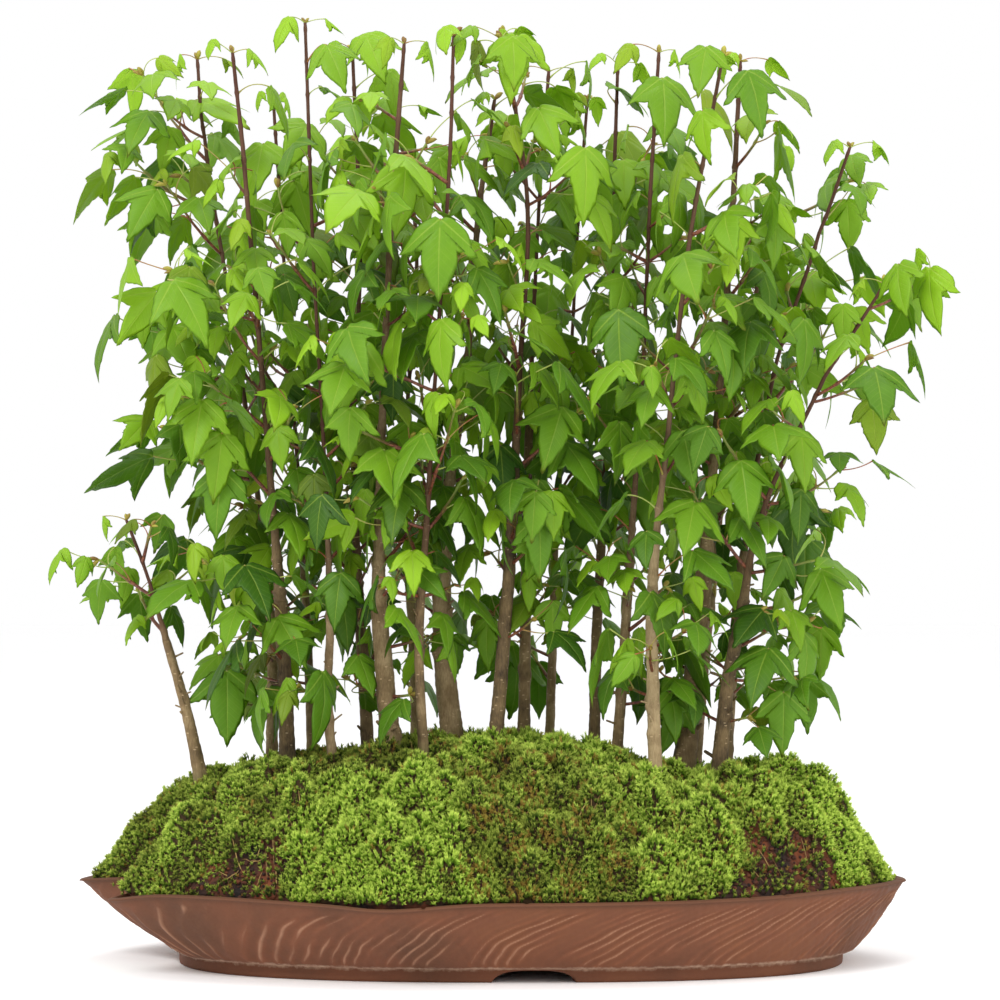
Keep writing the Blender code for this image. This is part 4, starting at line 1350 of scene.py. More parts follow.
@dataclass
class MossBed:
    """The moss: a lumpy cushion for each clump, set thick with single star-headed shoots."""

    ground: Ground
    finishes: dict[Slot, bpy.types.Material]
    spacing: float = 0.00155
    shoot_tall: float = 0.0056
    shoot_wide: float = 0.00150
    columns: int = 110
    rows: int = 26
    leaflets: int = 6
    thin: float = 0.22

    def shoot(self) -> tuple[np.ndarray, np.ndarray, np.ndarray]:
        """One moss shoot: pointed leaflets in a spreading star round a short stem.

        Returns:
            Points, faces and the share of the height at each point.
        """
        points, faces = [(0.0, 0.0, 0.0), (0.0, 0.0, 0.98)], []
        for k in range(self.leaflets):
            angle = FULL_TURN * k / self.leaflets
            whorl = 0.30 if k % 2 else 0.55
            reach, rise = (1.0, 0.34) if k % 2 else (0.72, 0.40)
            base = len(points)
            for turn, out, up in ((-0.55, 0.26, whorl), (0.55, 0.26, whorl), (0.0, 0.10, whorl + 0.20),
                                  (0.0, reach, whorl + rise)):
                points.append((math.cos(angle + turn) * out, math.sin(angle + turn) * out, up))
            faces += [(base, base + 3, base + 2), (base + 2, base + 3, base + 1), (base, base + 1, base + 3)]
        stem = len(points)
        for k in range(3):
            angle = FULL_TURN * k / 3
            points.append((math.cos(angle) * 0.28, math.sin(angle) * 0.28, 0.35))
        for k in range(3):
            a, b = stem + k, stem + (k + 1) % 3
            faces += [(0, b, a), (1, a, b)]
        made = np.array(points)
        return made, np.array(faces), made[:, 2]

    def cushion(self, index: int) -> tuple[np.ndarray, np.ndarray]:
        """The body of one clump.

        Args:
            index: The clump's number.

        Returns:
            Points and faces of its surface.
        """
        g = self.ground
        here = g.centres[index]
        turns = np.arange(self.columns) * FULL_TURN / self.columns
        ways = np.stack([np.cos(turns), np.sin(turns)], axis=1)
        far = np.full(self.columns, 0.2)
        for other, centre in enumerate(g.centres):
            if other != index:
                to = centre - here
                facing = ways @ (to / np.linalg.norm(to))
                cut = np.where(facing > 1e-6, np.linalg.norm(to) / 2 / np.maximum(facing, 1e-6), 1.0)
                far = np.minimum(far, cut + 0.0008)
        for _ in range(160):
            over = g.form.edge(here[0] + ways[:, 0] * far, here[1] + ways[:, 1] * far) > 0.992
            far = np.where(over, far - 0.0012, far)
        rings = []
        edge_x, edge_y = here[0] + ways[:, 0] * far, here[1] + ways[:, 1] * far
        rings.append(np.stack([edge_x, edge_y, g.form.mound(edge_x, edge_y) - 0.001], axis=1))
        for share in np.linspace(1.0, 0.02, self.rows):
            x, y = here[0] + ways[:, 0] * far * share, here[1] + ways[:, 1] * far * share
            rings.append(np.stack([x, y, g.top(x, y)], axis=1))
        return np.vstack(rings), ring_faces(len(rings), self.columns)

    def build(self) -> list[bpy.types.Object]:
        """Builds every clump.

        Returns:
            The pieces.
        """
        g = self.ground
        rng = np.random.default_rng(41)
        x, y = g.scatter(self.spacing, 42, 0.996)
        # Fewer shoots grow in the pits, so the near-black cushion shows there as painted shade.
        open_ground = g.pit(x, y) < rng.uniform(0.85, 2.8, len(x))
        x, y = x[open_ground], y[open_ground]
        which, _ = g.nearest(x, y)
        facing = g.lean(x, y)
        extra = rng.random(len(x)) < (1.0 / facing[:, 2] - 1.0) * 0.8
        more = rng.uniform(-0.6, 0.6, (int(extra.sum()), 2)) * self.spacing
        x, y = np.concatenate([x, x[extra] + more[:, 0]]), np.concatenate([y, y[extra] + more[:, 1]])
        which, facing = np.concatenate([which, which[extra]]), np.vstack([facing, facing[extra]])
        bare = g.thicks[which] == 0.0
        clumps = g.distances(x, y) + np.where(g.thicks == 0.0, 1.0, 0.0)
        living = np.where(bare & (rng.random(len(x)) > self.thin), -1, np.argmin(clumps, axis=-1))
        template, faces, heights = self.shoot()
        pieces = []
        for index, pad in enumerate(g.pads):
            if not pad.name:
                continue
            mine = living == index
            px, py = x[mine], y[mine]
            count = len(px)
            ways = facing[mine] * 0.75 + np.array([0.0, 0.0, 0.45]) + rng.normal(0, 0.22, (count, 3))
            ways /= np.linalg.norm(ways, axis=1, keepdims=True)
            lush = (1.0 + 0.22 * ripple(px, py, 0.013, 43)) * (1.0 - 0.35 * g.pit(px, py))
            tall = self.shoot_tall * pad.tall * lush * rng.uniform(0.65, 1.3, count)
            wide = self.shoot_wide * rng.uniform(0.7, 1.3, count) * (0.85 + 0.15 * pad.tall)
            roots = np.stack([px, py, g.top(px, py) - 0.0012], axis=1)
            points = grown(template, roots, ways, wide, tall, rng.uniform(0, FULL_TURN, count))
            corners = len(template)
            tone = g.blended(px, py, [p.tone for p in g.pads], 0.006) * 1.5 - 0.20
            tone = tone + 0.17 * ripple(px, py, 0.022, 44)
            # Shoots in the pits are turned towards the dark palette: painted shade in the hollows.
            tone = np.clip(tone, 0.0, 1.0) * np.clip(1.0 - 0.9 * g.pit(px, py), 0.0, 1.0)
            brown = np.clip(0.6 + 1.1 * ripple(px, py, 0.017, 45), 0.0, 3.0)
            withered = rng.random(count) < g.blended(px, py, [p.dry for p in g.pads], 0.009) * brown
            pile = Pile("height", "tint", "tone", "dry")
            body, skin = self.cushion(index)
            # The cushion body wears the shoots' near-black foot colour: a sheet of painted shade under the
            # shoots.
            pile.add(body, [skin], height=0.0, tint=0.1, tone=0.0, dry=0.15)
            pile.add(points, [copied(faces, corners, count)], height=np.tile(heights, count),
                     tint=np.repeat(rng.random(count), corners), tone=np.repeat(tone, corners),
                     dry=np.repeat(withered * 1.0, corners))
            pile.shift(g.form.shift)
            piece = pile.build(f"moss_bed_{pad.name}", self.finishes[pad.slot], smooth=False)
            pieces.append(place(piece, [f"moss_{pad.name}"], pad.slot))
        return pieces


# ------------------------------------------------------------------------------ leaves
@dataclass
class LeafShape:
    """One outline of a three-lobed blade, one unit long, with its rings of points and its vein map."""

    seed: int
    rings: tuple[float, ...] = (0.30, 0.62, 0.88)
    middle: float = 0.10
    thick: float = 0.006

    def __post_init__(self) -> None:
        """Draws the outline and fills it."""
        rng = np.random.default_rng(self.seed)
        self.outline = np.array(self.half(rng, -1) + self.half(rng, 1)[::-1][1:-1])
        columns = len(self.outline)
        away = self.outline - np.array([self.middle, 0.0])
        heart = np.array([self.middle, 0.0])
        layers = [heart + away * share for share in self.rings]
        flat = np.vstack([heart[None]] + layers + [self.outline] + layers + [heart[None]])
        shares = np.concatenate([[0.0], np.repeat(self.rings, columns), np.ones(columns),
                                 np.repeat(self.rings, columns), [0.0]])
        inner = columns * len(self.rings)
        sides = np.concatenate([np.ones(1 + inner), np.zeros(columns), -np.ones(inner + 1)])
        self.flat, self.shares, self.sides = flat, shares, sides
        side = np.arange(columns)
        after = (side + 1) % columns
        tops = [1 + k * columns for k in range(len(self.rings))] + [1 + inner]
        lows = [1 + inner + columns + k * columns for k in range(len(self.rings))] + [1 + inner]
        last = len(flat) - 1
        fans = [np.stack([np.zeros(columns, int), 1 + side, 1 + after], axis=1),
                np.stack([np.full(columns, last), lows[0] + after, lows[0] + side], axis=1)]
        bands = []
        for inside, outside in zip(tops[:-1], tops[1:]):
            bands.append(np.stack([inside + side, outside + side, outside + after, inside + after], axis=1))
        for inside, outside in zip(lows[:-1], lows[1:]):
            bands.append(np.stack([inside + side, inside + after, outside + after, outside + side], axis=1))
        self.blocks = fans + bands
        angles = np.degrees(np.arctan2(away[:, 1], away[:, 0]))
        between = (np.roll(away, -1, axis=0) + away) / 2
        between = np.degrees(np.arctan2(between[:, 1], between[:, 0]))
        self.maps = [self.vein_map(block, between) for block in self.blocks]
        self.angles = np.concatenate([[0.0], np.tile(angles, len(self.rings) + 1 + len(self.rings)), [0.0]])

    @staticmethod
    def half(rng: np.random.Generator, hand: int) -> list[tuple[float, float]]:
        """Half of the outline, from the stalk to the tip.

        Args:
            rng: Source of the small differences between leaves.
            hand: Minus one for the right half and one for the left.

        Returns:
            Points with small, uneven teeth.
        """
        lobe_x, lobe_y = 0.43 + rng.uniform(-0.05, 0.07), 0.50 + rng.uniform(-0.07, 0.06)
        notch = 0.20 + rng.uniform(-0.03, 0.04)
        full = rng.uniform(0.84, 1.04)
        knots = [(0.0, 0.0), (-0.025, 0.055), (0.0, 0.15), (0.07, 0.255), (0.18, 0.35),
                 (lobe_x * 0.75, lobe_y * 0.84), (lobe_x, lobe_y), (lobe_x - 0.015, lobe_y * 0.75),
                 (0.385, lobe_y * 0.38 + notch * 0.62), (0.395, notch), (0.50, notch * full),
                 (0.62, notch * full * 0.86), (0.75, notch * full * 0.58), (0.88, notch * full * 0.22),
                 (1.0, 0.0)]
        line = []
        for k, (a, b) in enumerate(zip(knots[:-1], knots[1:])):
            line.append(a)
            bulge = 0.007 + rng.uniform(-0.012, 0.016) if k > 1 else 0.0
            way = np.array([b[0] - a[0], b[1] - a[1]])
            out = np.array([-way[1], way[0]]) / max(np.linalg.norm(way), 1e-6)
            spot = np.array(a) + way * 0.6 + out * bulge
            line.append((float(spot[0]), float(spot[1])))
        line.append(knots[-1])
        return [(px, py * hand) for px, py in line]

    def vein_map(self, block: np.ndarray, between: np.ndarray) -> np.ndarray:
        """Coordinates along and off the main vein that each face lies by.

        Args:
            block: Corner numbers of one array of faces, one face a column.
            between: Angle of each column, in degrees.

        Returns:
            Flat coordinates of each corner.
        """
        points = self.flat[block]
        lean = math.radians(50.0)
        along, off = points[..., 0], points[..., 1]
        hand = np.sign(between)[:, None]
        side = np.abs(between)[:, None] > 33.0
        slanted = along * math.cos(lean) + off * hand * math.sin(lean)
        across = off * hand * math.cos(lean) - along * math.sin(lean)
        return np.stack([np.where(side, slanted, along), np.where(side, across, off)], axis=-1)

    def posed(self, droop: float, fold: float, wave: float) -> np.ndarray:
        """The blade's points, bent.

        Args:
            droop: Bend from stalk to tip, in radians.
            fold: Bend from side to side, in radians.
            wave: Where the wavy margin starts.

        Returns:
            Points one unit long, forward along x and facing up.
        """
        u, v = self.flat[:, 0], self.flat[:, 1]
        apart = np.abs(self.angles)
        panel = np.where(apart < 58.0, apart / 58.0, (apart - 58.0) / 122.0)
        lift = 0.030 * np.sin(math.pi * np.clip(panel, 0, 1)) * self.shares * (1.2 - self.shares * 0.6)
        lift = lift + 0.016 * np.sin(np.radians(self.angles) * 5.0 + wave) * self.shares ** 2
        lift = lift + self.sides * self.thick / 2
        y = np.sin(fold * v) / fold
        z = lift * np.cos(fold * v) - (1.0 - np.cos(fold * v)) / fold
        x = np.sin(droop * u) / droop + z * np.sin(droop * u)
        z = z * np.cos(droop * u) - (1.0 - np.cos(droop * u)) / droop
        return np.stack([x, y, z], axis=1)


class Crowding:
    """Keeps the leaves apart: a grid of spots that are already taken."""

    def __init__(self, cell: float) -> None:
        """Starts with nothing taken.

        Args:
            cell: Side of a grid cell, no less than the greatest distance asked for.
        """
        self.cell = cell
        self.taken: dict[tuple[int, int, int], list[tuple[float, float, float, int]]] = {}

    def add(self, points: np.ndarray, owner: int) -> None:
        """Marks spots as taken by an owner.

        Args:
            points: The spots.
            owner: The owner's number.
        """
        for x, y, z in points.tolist():
            key = (math.floor(x / self.cell), math.floor(y / self.cell), math.floor(z / self.cell))
            self.taken.setdefault(key, []).append((x, y, z, owner))

    def clashes(self, points: np.ndarray, apart: float, owner: int) -> int:
        """Counts spots that lie too near to someone else's.

        Args:
            points: Spots to test.
            apart: Least distance.
            owner: Owner of the spots, whose own are not counted.

        Returns:
            How many are too near.
        """
        found = 0
        limit = apart * apart
        for x, y, z in points.tolist():
            i, j, k = (math.floor(a / self.cell) for a in (x, y, z))
            near = (spot for a in (i - 1, i, i + 1) for b in (j - 1, j, j + 1) for c in (k - 1, k, k + 1)
                    for spot in self.taken.get((a, b, c), ()))
            found += any((px - x) ** 2 + (py - y) ** 2 + (pz - z) ** 2 < limit and who != owner
                         for px, py, pz, who in near)
        return found


# ------------------------------------------------------------------------------ trees
@dataclass(frozen=True)
class TreePlan:
    """One maple. Foot and girth are in mm, and the leader is x in mm against a share of the height.

    Low says how often twigs grow below the crown, and leafy how big its leaves and twigs are. Reach
    holds the long side shoots: share of the height, direction in degrees, slope and length in mm.
    """

    foot: tuple[float, float]
    girth: float
    leader: tuple[tuple[float, float], ...]
    tip_y: float
    crown_from: float
    low: float = 0.55
    leafy: float = 1.0
    reach: tuple[tuple[float, float, float, float], ...] = ()


PLANS = (
    TreePlan((-175, -6), 5.0, ((-186, .26), (-200, .345), (-209, .395), (-222, .455)), -12, .330,
             0.05, 0.74),
    TreePlan((-137, 34), 4.2, ((-137, .32), (-146, .48), (-165, .70), (-181, .87), (-186, .955)), 46, .360,
             0.60, 1.0, ((.87, 186, 0.45, 58), (.79, 190, 0.30, 66), (.60, 178, 0.25, 72),
                         (.50, 184, 0.15, 66), (.41, 178, 0.1, 48))),
    TreePlan((-123, -14), 5.6, ((-126, .32), (-133, .48), (-143, .70), (-150, .84), (-156, .935)), -38, .370,
             0.60, 1.0, ((.66, 195, 0.25, 62), (.38, 190, 0.1, 46))),
    TreePlan((-113, 56), 3.6, ((-116, .32), (-122, .48), (-131, .70), (-137, .84), (-141, .925)), 84, .400),
    TreePlan((-95, -32), 3.2, ((-98, .28), (-97, .35), (-101, .52), (-108, .72), (-114, .975)), -12, .370),
    TreePlan((-76, 24), 4.6, ((-79, .29), (-82, .36), (-86, .54), (-82, .74), (-87, .96)), 28, .380),
    TreePlan((-60, -18), 7.2, ((-65, .31), (-68, .38), (-66, .54), (-60, .76), (-52, .94)), -52, .365),
    TreePlan((-47, 54), 4.2, ((-49, .32), (-53, .42), (-54, .56), (-48, .76), (-62, .91)), 78, .400),
    TreePlan((-40, -40), 3.6, ((-43, .33), (-38, .46), (-33, .60), (-25, .80), (-22, .94)), -76, .400),
    TreePlan((-23, 6), 8.2, ((-30, .34), (-28, .46), (-16, .60), (-8, .78), (2, .90)), 8, .420,
             0.30),
    TreePlan((2, -20), 5.2, ((9, .36), (13, .46), (17, .60), (22, .78), (7, .955)), -34, .500,
             0.30, 1.0, ((.44, 300, 0.5, 40), (.40, 110, 0.4, 30))),
    TreePlan((20, 22), 4.5, ((21, .34), (22, .46), (25, .62), (30, .80), (36, .94)), 40, .560,
             0.30, 1.0, ((.50, 280, 0.5, 40), (.43, 250, 0.4, 36), (.37, 290, 0.3, 30))),
    TreePlan((36, 60), 3.6, ((39, .34), (41, .46), (50, .62), (56, .80), (62, .925)), 92, .480,
             0.45),
    TreePlan((64, 42), 4.2, ((66, .34), (70, .46), (75, .62), (77, .80), (80, .95)), 50, .430),
    TreePlan((76, -4), 4.0, ((80, .29), (85, .42), (92, .60), (97, .80), (102, .94)), -24, .400),
    TreePlan((98, -50), 4.8, ((96, .30), (96, .385), (104, .52), (118, .74), (137, .92)), -74, .385),
    TreePlan((117, 4), 8.2, ((125, .31), (131, .40), (139, .56), (148, .76), (154, .94)), 6, .400),
    TreePlan((126, 46), 5.0, ((134, .32), (141, .42), (152, .56), (170, .72), (184, .86)), 72, .420),
    TreePlan((136, -26), 5.6, ((142, .28), (151, .36), (163, .46), (200, .60), (236, .695)), -44, .360,
             0.60, 1.0, ((.67, 5, 0.35, 44), (.575, 0, 0.2, 36), (.47, 8, 0.15, 52), (.40, 355, 0.1, 44),
                         (.34, 0, 0.0, 42), (.29, 350, -0.1, 34))),
    TreePlan((144, 22), 4.6, ((150, .32), (158, .44), (176, .62), (203, .76), (222, .85)), 10, .400,
             0.60, 1.0, ((.44, 10, 0.15, 50), (.36, 5, 0.0, 44))),
)


@dataclass
class Twig:
    """A side shoot: its centre line, its radius at each point and the points that are nodes."""

    line: np.ndarray
    radii: np.ndarray
    nodes: list[int]


@dataclass
class Wardrobe:
    """The finishes that every tree wears."""

    bark: bpy.types.Material
    twig: bpy.types.Material
    stalk: bpy.types.Material
    leaf: bpy.types.Material
    bud: bpy.types.Material


@dataclass
class Maple:
    """One tree: trunk, leader, side shoots, stalks, blades and buds."""

    number: int
    plan: TreePlan
    form: TrayForm
    wardrobe: Wardrobe
    shapes: list[LeafShape]
    height: float = 0.586
    leader_tip: float = 0.0010
    slimming: float = 0.42
    node_step: float = 0.020
    leaf_length: float = 0.044
    stalk_length: float = 0.024
    apart: float = 0.0065
    tries: int = 9
    touches_allowed: int = 3
    shrink_step: float = 0.045
    folded_below: float = 0.62
    stalk_radius: float = 0.00042
    room: tuple[float, float, float] = (0.279, 0.163, 0.580)
    twigs: list[Twig] = field(default_factory=list)
    leaf_count: int = 0

    def __post_init__(self) -> None:
        """Works out the stem's path."""
        self.rng = np.random.default_rng(9100 + 37 * self.number)
        x, y = self.plan.foot[0] * MM, self.plan.foot[1] * MM
        self.ground = float(self.form.mound(np.array(x), np.array(y)))
        knots = [(x, y, self.ground)]
        reach = self.plan.leader[-1][1] * self.height - self.ground
        for px, share in self.plan.leader:
            z = share * self.height
            along = (z - self.ground) / reach
            knots.append((px * MM, y + (self.plan.tip_y * MM - y) * along ** 1.3, z))
        self.knots = np.array(knots)
        self.cut = self.plan.crown_from * self.height
        self.top = float(self.knots[-1, 2])
        self.azimuth = self.rng.uniform(0, math.pi / 2)
        side = self.rng.uniform(0, FULL_TURN, 6)
        rise = self.rng.uniform(0.1, 0.95, 6)
        self.knobs = list(zip(side, self.ground + rise * (self.cut - self.ground)))

    def at(self, heights: np.ndarray) -> np.ndarray:
        """Centre of the stem at some heights.

        Args:
            heights: Heights above the ground.

        Returns:
            One point for each.
        """
        knots = self.knots
        found = []
        for z in np.atleast_1d(heights):
            if z <= knots[0, 2]:
                way = (knots[1] - knots[0]) / (knots[1, 2] - knots[0, 2])
                found.append(knots[0] + way * (z - knots[0, 2]))
                continue
            i = int(np.clip(np.searchsorted(knots[:, 2], z - 1e-9) - 1, 0, len(knots) - 2))
            b, c = knots[i], knots[i + 1]
            a = knots[i - 1] if i else 2 * b - c
            d = knots[i + 2] if i + 2 < len(knots) else 2 * c - b
            t = (z - b[2]) / (c[2] - b[2])
            smooth = 0.5 * (2 * b + (c - a) * t + (2 * a - 5 * b + 4 * c - d) * t ** 2
                            + (3 * b - a - 3 * c + d) * t ** 3)
            found.append(np.array([smooth[0], smooth[1], z]))
        return np.array(found)

    def thick(self, heights: np.ndarray) -> np.ndarray:
        """Radius of the stem at some heights, flaring at the soil.

        Args:
            heights: The heights.

        Returns:
            The radius at each.
        """
        z = np.atleast_1d(heights)
        share = np.clip((z - self.ground) / (self.top - self.ground), 0.0, 1.0)
        flare = 0.28 * np.exp(-np.maximum(z - self.ground, 0.0) / 0.010)
        slim = self.leader_tip + (self.plan.girth * MM * 0.86 - self.leader_tip) * (1.0 - share) ** 0.9
        above = np.clip((z - self.cut) / (self.top - self.cut), 0.0, 1.0)
        return slim * (1.0 + flare) * (1.0 - self.slimming * np.sin(math.pi * above ** 0.7))

    def stem(self, low: float, high: float, step: float, sides: int) -> tuple[np.ndarray, list[np.ndarray]]:
        """The barked skin of the stem between two heights.

        Args:
            low: Lower end.
            high: Upper end.
            step: Distance between rings.
            sides: Points round a ring.

        Returns:
            Points and arrays of faces.
        """
        heights = np.linspace(low, high, max(4, round((high - low) / step) + 1))
        centres, radii = self.at(heights), self.thick(heights)
        turns = np.arange(sides) * FULL_TURN / sides
        z, a = heights[:, None], turns[None, :]
        above = np.maximum(z - self.ground, 0.0)
        roots = 0.16 * np.exp(-above / 0.009) * np.cos(a * (4 + self.number % 2) + self.number)
        bark = 0.035 * ripple(a * 3.0 + z * 0.0, z * 240.0, 4.2, 50 + self.number)
        bark = bark + 0.022 * ripple(np.cos(a) * 2.0 + z * 0.0, z * 900.0 + np.sin(a), 3.1, 90 + self.number)
        grow = 1.0 + roots + bark
        for side, rise in self.knobs:
            near = np.angle(np.exp(1j * (a - side)))
            lump = np.exp(-(near / 0.55) ** 2 - ((z - rise) / 0.0030) ** 2)
            grow = grow + (0.42 if self.number in (16, 19) else 0.22) * lump
        for node in self.node_heights():
            grow = grow + 0.30 * np.exp(-((z - node) / 0.0014) ** 2) * (z >= self.cut - 0.002)
        wide = radii[:, None] * grow
        points = np.stack([centres[:, 0:1] + np.cos(a) * wide, centres[:, 1:2] + np.sin(a) * wide,
                           np.broadcast_to(z, wide.shape)], axis=-1).reshape(-1, 3)
        ends = np.array([centres[0], centres[-1] + (0, 0, radii[-1] * 0.5)])
        count = len(points)
        side_numbers = np.arange(sides)
        after = (side_numbers + 1) % sides
        floor = np.stack([after, side_numbers, np.full(sides, count)], axis=1)
        last = count - sides
        roof = np.stack([last + side_numbers, last + after, np.full(sides, count + 1)], axis=1)
        return np.vstack([points, ends]), [ring_faces(len(heights), sides), np.vstack([floor, roof])]

    def node_heights(self) -> np.ndarray:
        """Heights of the leader's nodes.

        Returns:
            The heights, lowest first.
        """
        count = max(3, round((self.top - self.cut - 0.010) / self.node_step))
        return np.linspace(self.cut + 0.006, self.top - 0.004, count + 1)

    def tones(self, points: np.ndarray) -> dict[str, np.ndarray]:
        """Values for the bark's colour at each point of the stem.

        Args:
            points: Points of the stem.

        Returns:
            The values by name.
        """
        z = points[:, 2]
        share = np.clip((z - self.ground) / max(self.top - self.ground, 0.1), 0.0, 1.0)
        slim = np.clip(1.0 - self.thick(z) / 0.0030, 0.0, 1.0)
        return {"tint": np.full(len(z), (self.number * 0.37) % 1.0) * 0.8 + 0.2 * share,
                "young": np.clip(slim * 1.5, 0.0, 0.92),
                "algae": np.clip(0.5 - (z - self.ground) / 0.03, 0.0, 0.4)}

    def build_wood(self) -> None:
        """Builds the trunk and the leader, and grows the side shoots."""
        pile = Pile("tint", "young", "algae")
        points, faces = self.stem(self.ground - 0.006, self.cut, 0.0016, 30)
        pile.add(points, faces, **self.tones(points))
        for _ in range(7 if self.number in (1, 5, 16, 19) else 3):
            self.add_stub(pile)
        pile.shift(self.form.shift)
        place(pile.build(f"trunk_bark_{self.number:02d}", self.wardrobe.bark),
              [f"trunk_{self.number:02d}"], Slot.BARK)
        pile = Pile("tint", "young", "algae")
        points, faces = self.stem(self.cut - 0.0002, self.top, 0.0016, 14)
        pile.add(points, faces, **self.tones(points))
        pile.shift(self.form.shift)
        place(pile.build(f"leader_bark_{self.number:02d}", self.wardrobe.bark),
              [f"crown_{self.number:02d}"], Slot.BARK)

    def add_stub(self, pile: Pile) -> None:
        """Adds the stub of a cut twig to the trunk.

        Args:
            pile: Pile to add to.
        """
        rng = self.rng
        z = rng.uniform(self.ground + 0.015, self.cut - 0.005)
        middle, radius = self.at(z)[0], float(self.thick(z)[0])
        angle, length = rng.uniform(0, FULL_TURN), rng.uniform(0.003, 0.009)
        out = np.array([math.cos(angle), math.sin(angle), rng.uniform(0.2, 1.0)])
        out /= np.linalg.norm(out)
        along = np.linspace(0.0, 1.0, 5)[:, None]
        line = middle + out * (radius * 0.6 + along * (length + radius * 0.4))
        wide = radius * rng.uniform(0.16, 0.26)
        points, faces = tube(line, wide * np.array([1.5, 1.1, 0.9, 0.95, 0.8]), 8)
        pile.add(points, faces, **self.tones(points))

    def add_twig(self, root: np.ndarray, way: np.ndarray, length: float, rise: float,
                 radius: float) -> None:
        """Grows one side shoot, jointed and bending up towards the light.

        Args:
            root: Where it leaves the leader.
            way: Level direction away from the leader.
            length: Length of the shoot.
            rise: Its first slope.
            radius: Its radius at the root.
        """
        rng = self.rng
        step = 0.0026
        count = max(6, round(length / step))
        gap = max(4, round(rng.uniform(0.014, 0.020) / step))
        heading = way + np.array([0.0, 0.0, rise])
        heading /= np.linalg.norm(heading)
        spots, nodes = [root], []
        for k in range(1, count):
            heading = heading + np.array([0.0, 0.0, 0.024]) + rng.normal(0, 0.010, 3)
            if k % gap == 0:
                nodes.append(k)
                heading = heading + rng.normal(0, 0.07, 3)
            heading = heading / np.linalg.norm(heading)
            spots.append(spots[-1] + heading * step)
        nodes.append(count - 1)
        line = np.array(spots)
        radii = np.linspace(radius, radius * 0.55, count)
        for node in nodes:
            radii = radii * (1.0 + 0.45 * np.exp(-((np.arange(count) - node) / 0.7) ** 2))
        self.twigs.append(Twig(line, radii, nodes))

    def grow_twigs(self) -> None:
        """Decides where the leader branches."""
        rng = self.rng
        heights = self.node_heights()
        self.free: list[tuple[np.ndarray, np.ndarray, float]] = []
        outward = math.copysign(min(abs(self.knots[-1, 0]) / 0.16, 1.0), self.knots[-1, 0])
        for i, z in enumerate(heights):
            share = i / (len(heights) - 1)
            for k in (0, 2) if i % 2 else (1, 3):
                angle = self.azimuth + k * math.pi / 2 + rng.uniform(-0.3, 0.3)
                way = np.array([math.cos(angle), math.sin(angle), 0.0])
                centre, radius = self.at(z)[0], float(self.thick(z)[0])
                root = centre + way * radius * 0.85
                pull = 0.16 * outward * way[0]
                sparse = 0.20 if share > 0.70 else 0.0
                if share < 0.88 and rng.random() < 0.39 + pull - sparse:
                    length = rng.uniform(0.028, 0.074) * (1.0 - 0.35 * share) * (1.0 + pull)
                    length *= self.plan.leafy
                    self.add_twig(root, way, length, rng.uniform(0.15, 1.1), rng.uniform(0.0009, 0.0013))
                elif rng.random() < 0.70 - 2.0 * sparse:
                    self.free.append((root, way, share))
        for share, degrees, rise, length in self.plan.reach:
            self.reach_out(share * self.height, math.radians(degrees), rise, length * MM)
        for z in np.arange(self.ground + 0.040, self.cut, 0.015):
            for angle in rng.uniform(0, FULL_TURN) + np.array([0.0, math.pi]):
                chance = self.plan.low * (0.26 + 0.6 * (z - self.ground) / (self.cut - self.ground))
                if rng.random() < chance:
                    self.reach_out(z, angle, rng.uniform(0.0, 0.6), rng.uniform(0.010, 0.036))

    def reach_out(self, z: float, angle: float, rise: float, length: float) -> None:
        """Grows one side shoot from a height and in a direction.

        Args:
            z: Height that it grows from.
            angle: Direction seen from above.
            rise: How steeply it climbs.
            length: Length of the shoot.
        """
        way = np.array([math.cos(angle), math.sin(angle), 0.0])
        root = self.at(z)[0] + way * float(self.thick(z)[0]) * 0.85
        self.add_twig(root, way, length, rise, self.rng.uniform(0.0009, 0.0013))

    def build_crown(self, crowd: Crowding) -> None:
        """Builds the shoots, and hangs the leaves where there is room.

        Args:
            crowd: Spots already taken.
        """
        rng = self.rng
        shoots = Pile("fresh")
        self.stalks, self.blades, self.buds = Pile("tint"), Pile("youth", "tint", "blush"), Pile("tint")
        for twig in self.twigs:
            points, faces = tube(twig.line, twig.radii, 7)
            along = np.concatenate([np.repeat(np.linspace(0, 1, len(twig.line)), 7), [0.0, 1.0]])
            shoots.add(points, faces, fresh=np.clip(along * 1.4 - 0.55 + rng.uniform(-0.3, 0.3), 0.0, 0.9))
        for twig in self.twigs:
            self.dress_twig(twig, crowd)
        for root, way, share in self.free:
            self.hang(root, way, np.array([0.0, 0.0, 1.0]), rng.uniform(0.62, 1.15), share, crowd)
        tip = self.at(self.top)[0]
        for k in range(2):
            angle = self.azimuth + k * math.pi + rng.uniform(-0.5, 0.5)
            way = np.array([math.cos(angle), math.sin(angle), -0.5])
            self.hang(tip, way, np.array([0.0, 0.0, 1.0]), rng.uniform(0.32, 0.60), 1.0, crowd)
        self.add_buds(tip, np.array([0.0, 0.0, 1.0]), 3)
        nodes = [f"crown_{self.number:02d}"]
        for pile, name, finish, slot in (
                (shoots, "shoots", self.wardrobe.twig, Slot.BARK),
                (self.stalks, "petioles", self.wardrobe.stalk, Slot.LEAF),
                (self.buds, "buds", self.wardrobe.bud, Slot.LEAF)):
            pile.shift(self.form.shift)
            place(pile.build(f"{name}_{self.number:02d}", finish), nodes, slot)
        self.blades.shift(self.form.shift)
        leaves = self.blades.build(f"leaves_{self.number:02d}", self.wardrobe.leaf, plan_name="veins")
        place(leaves, nodes, Slot.LEAF)

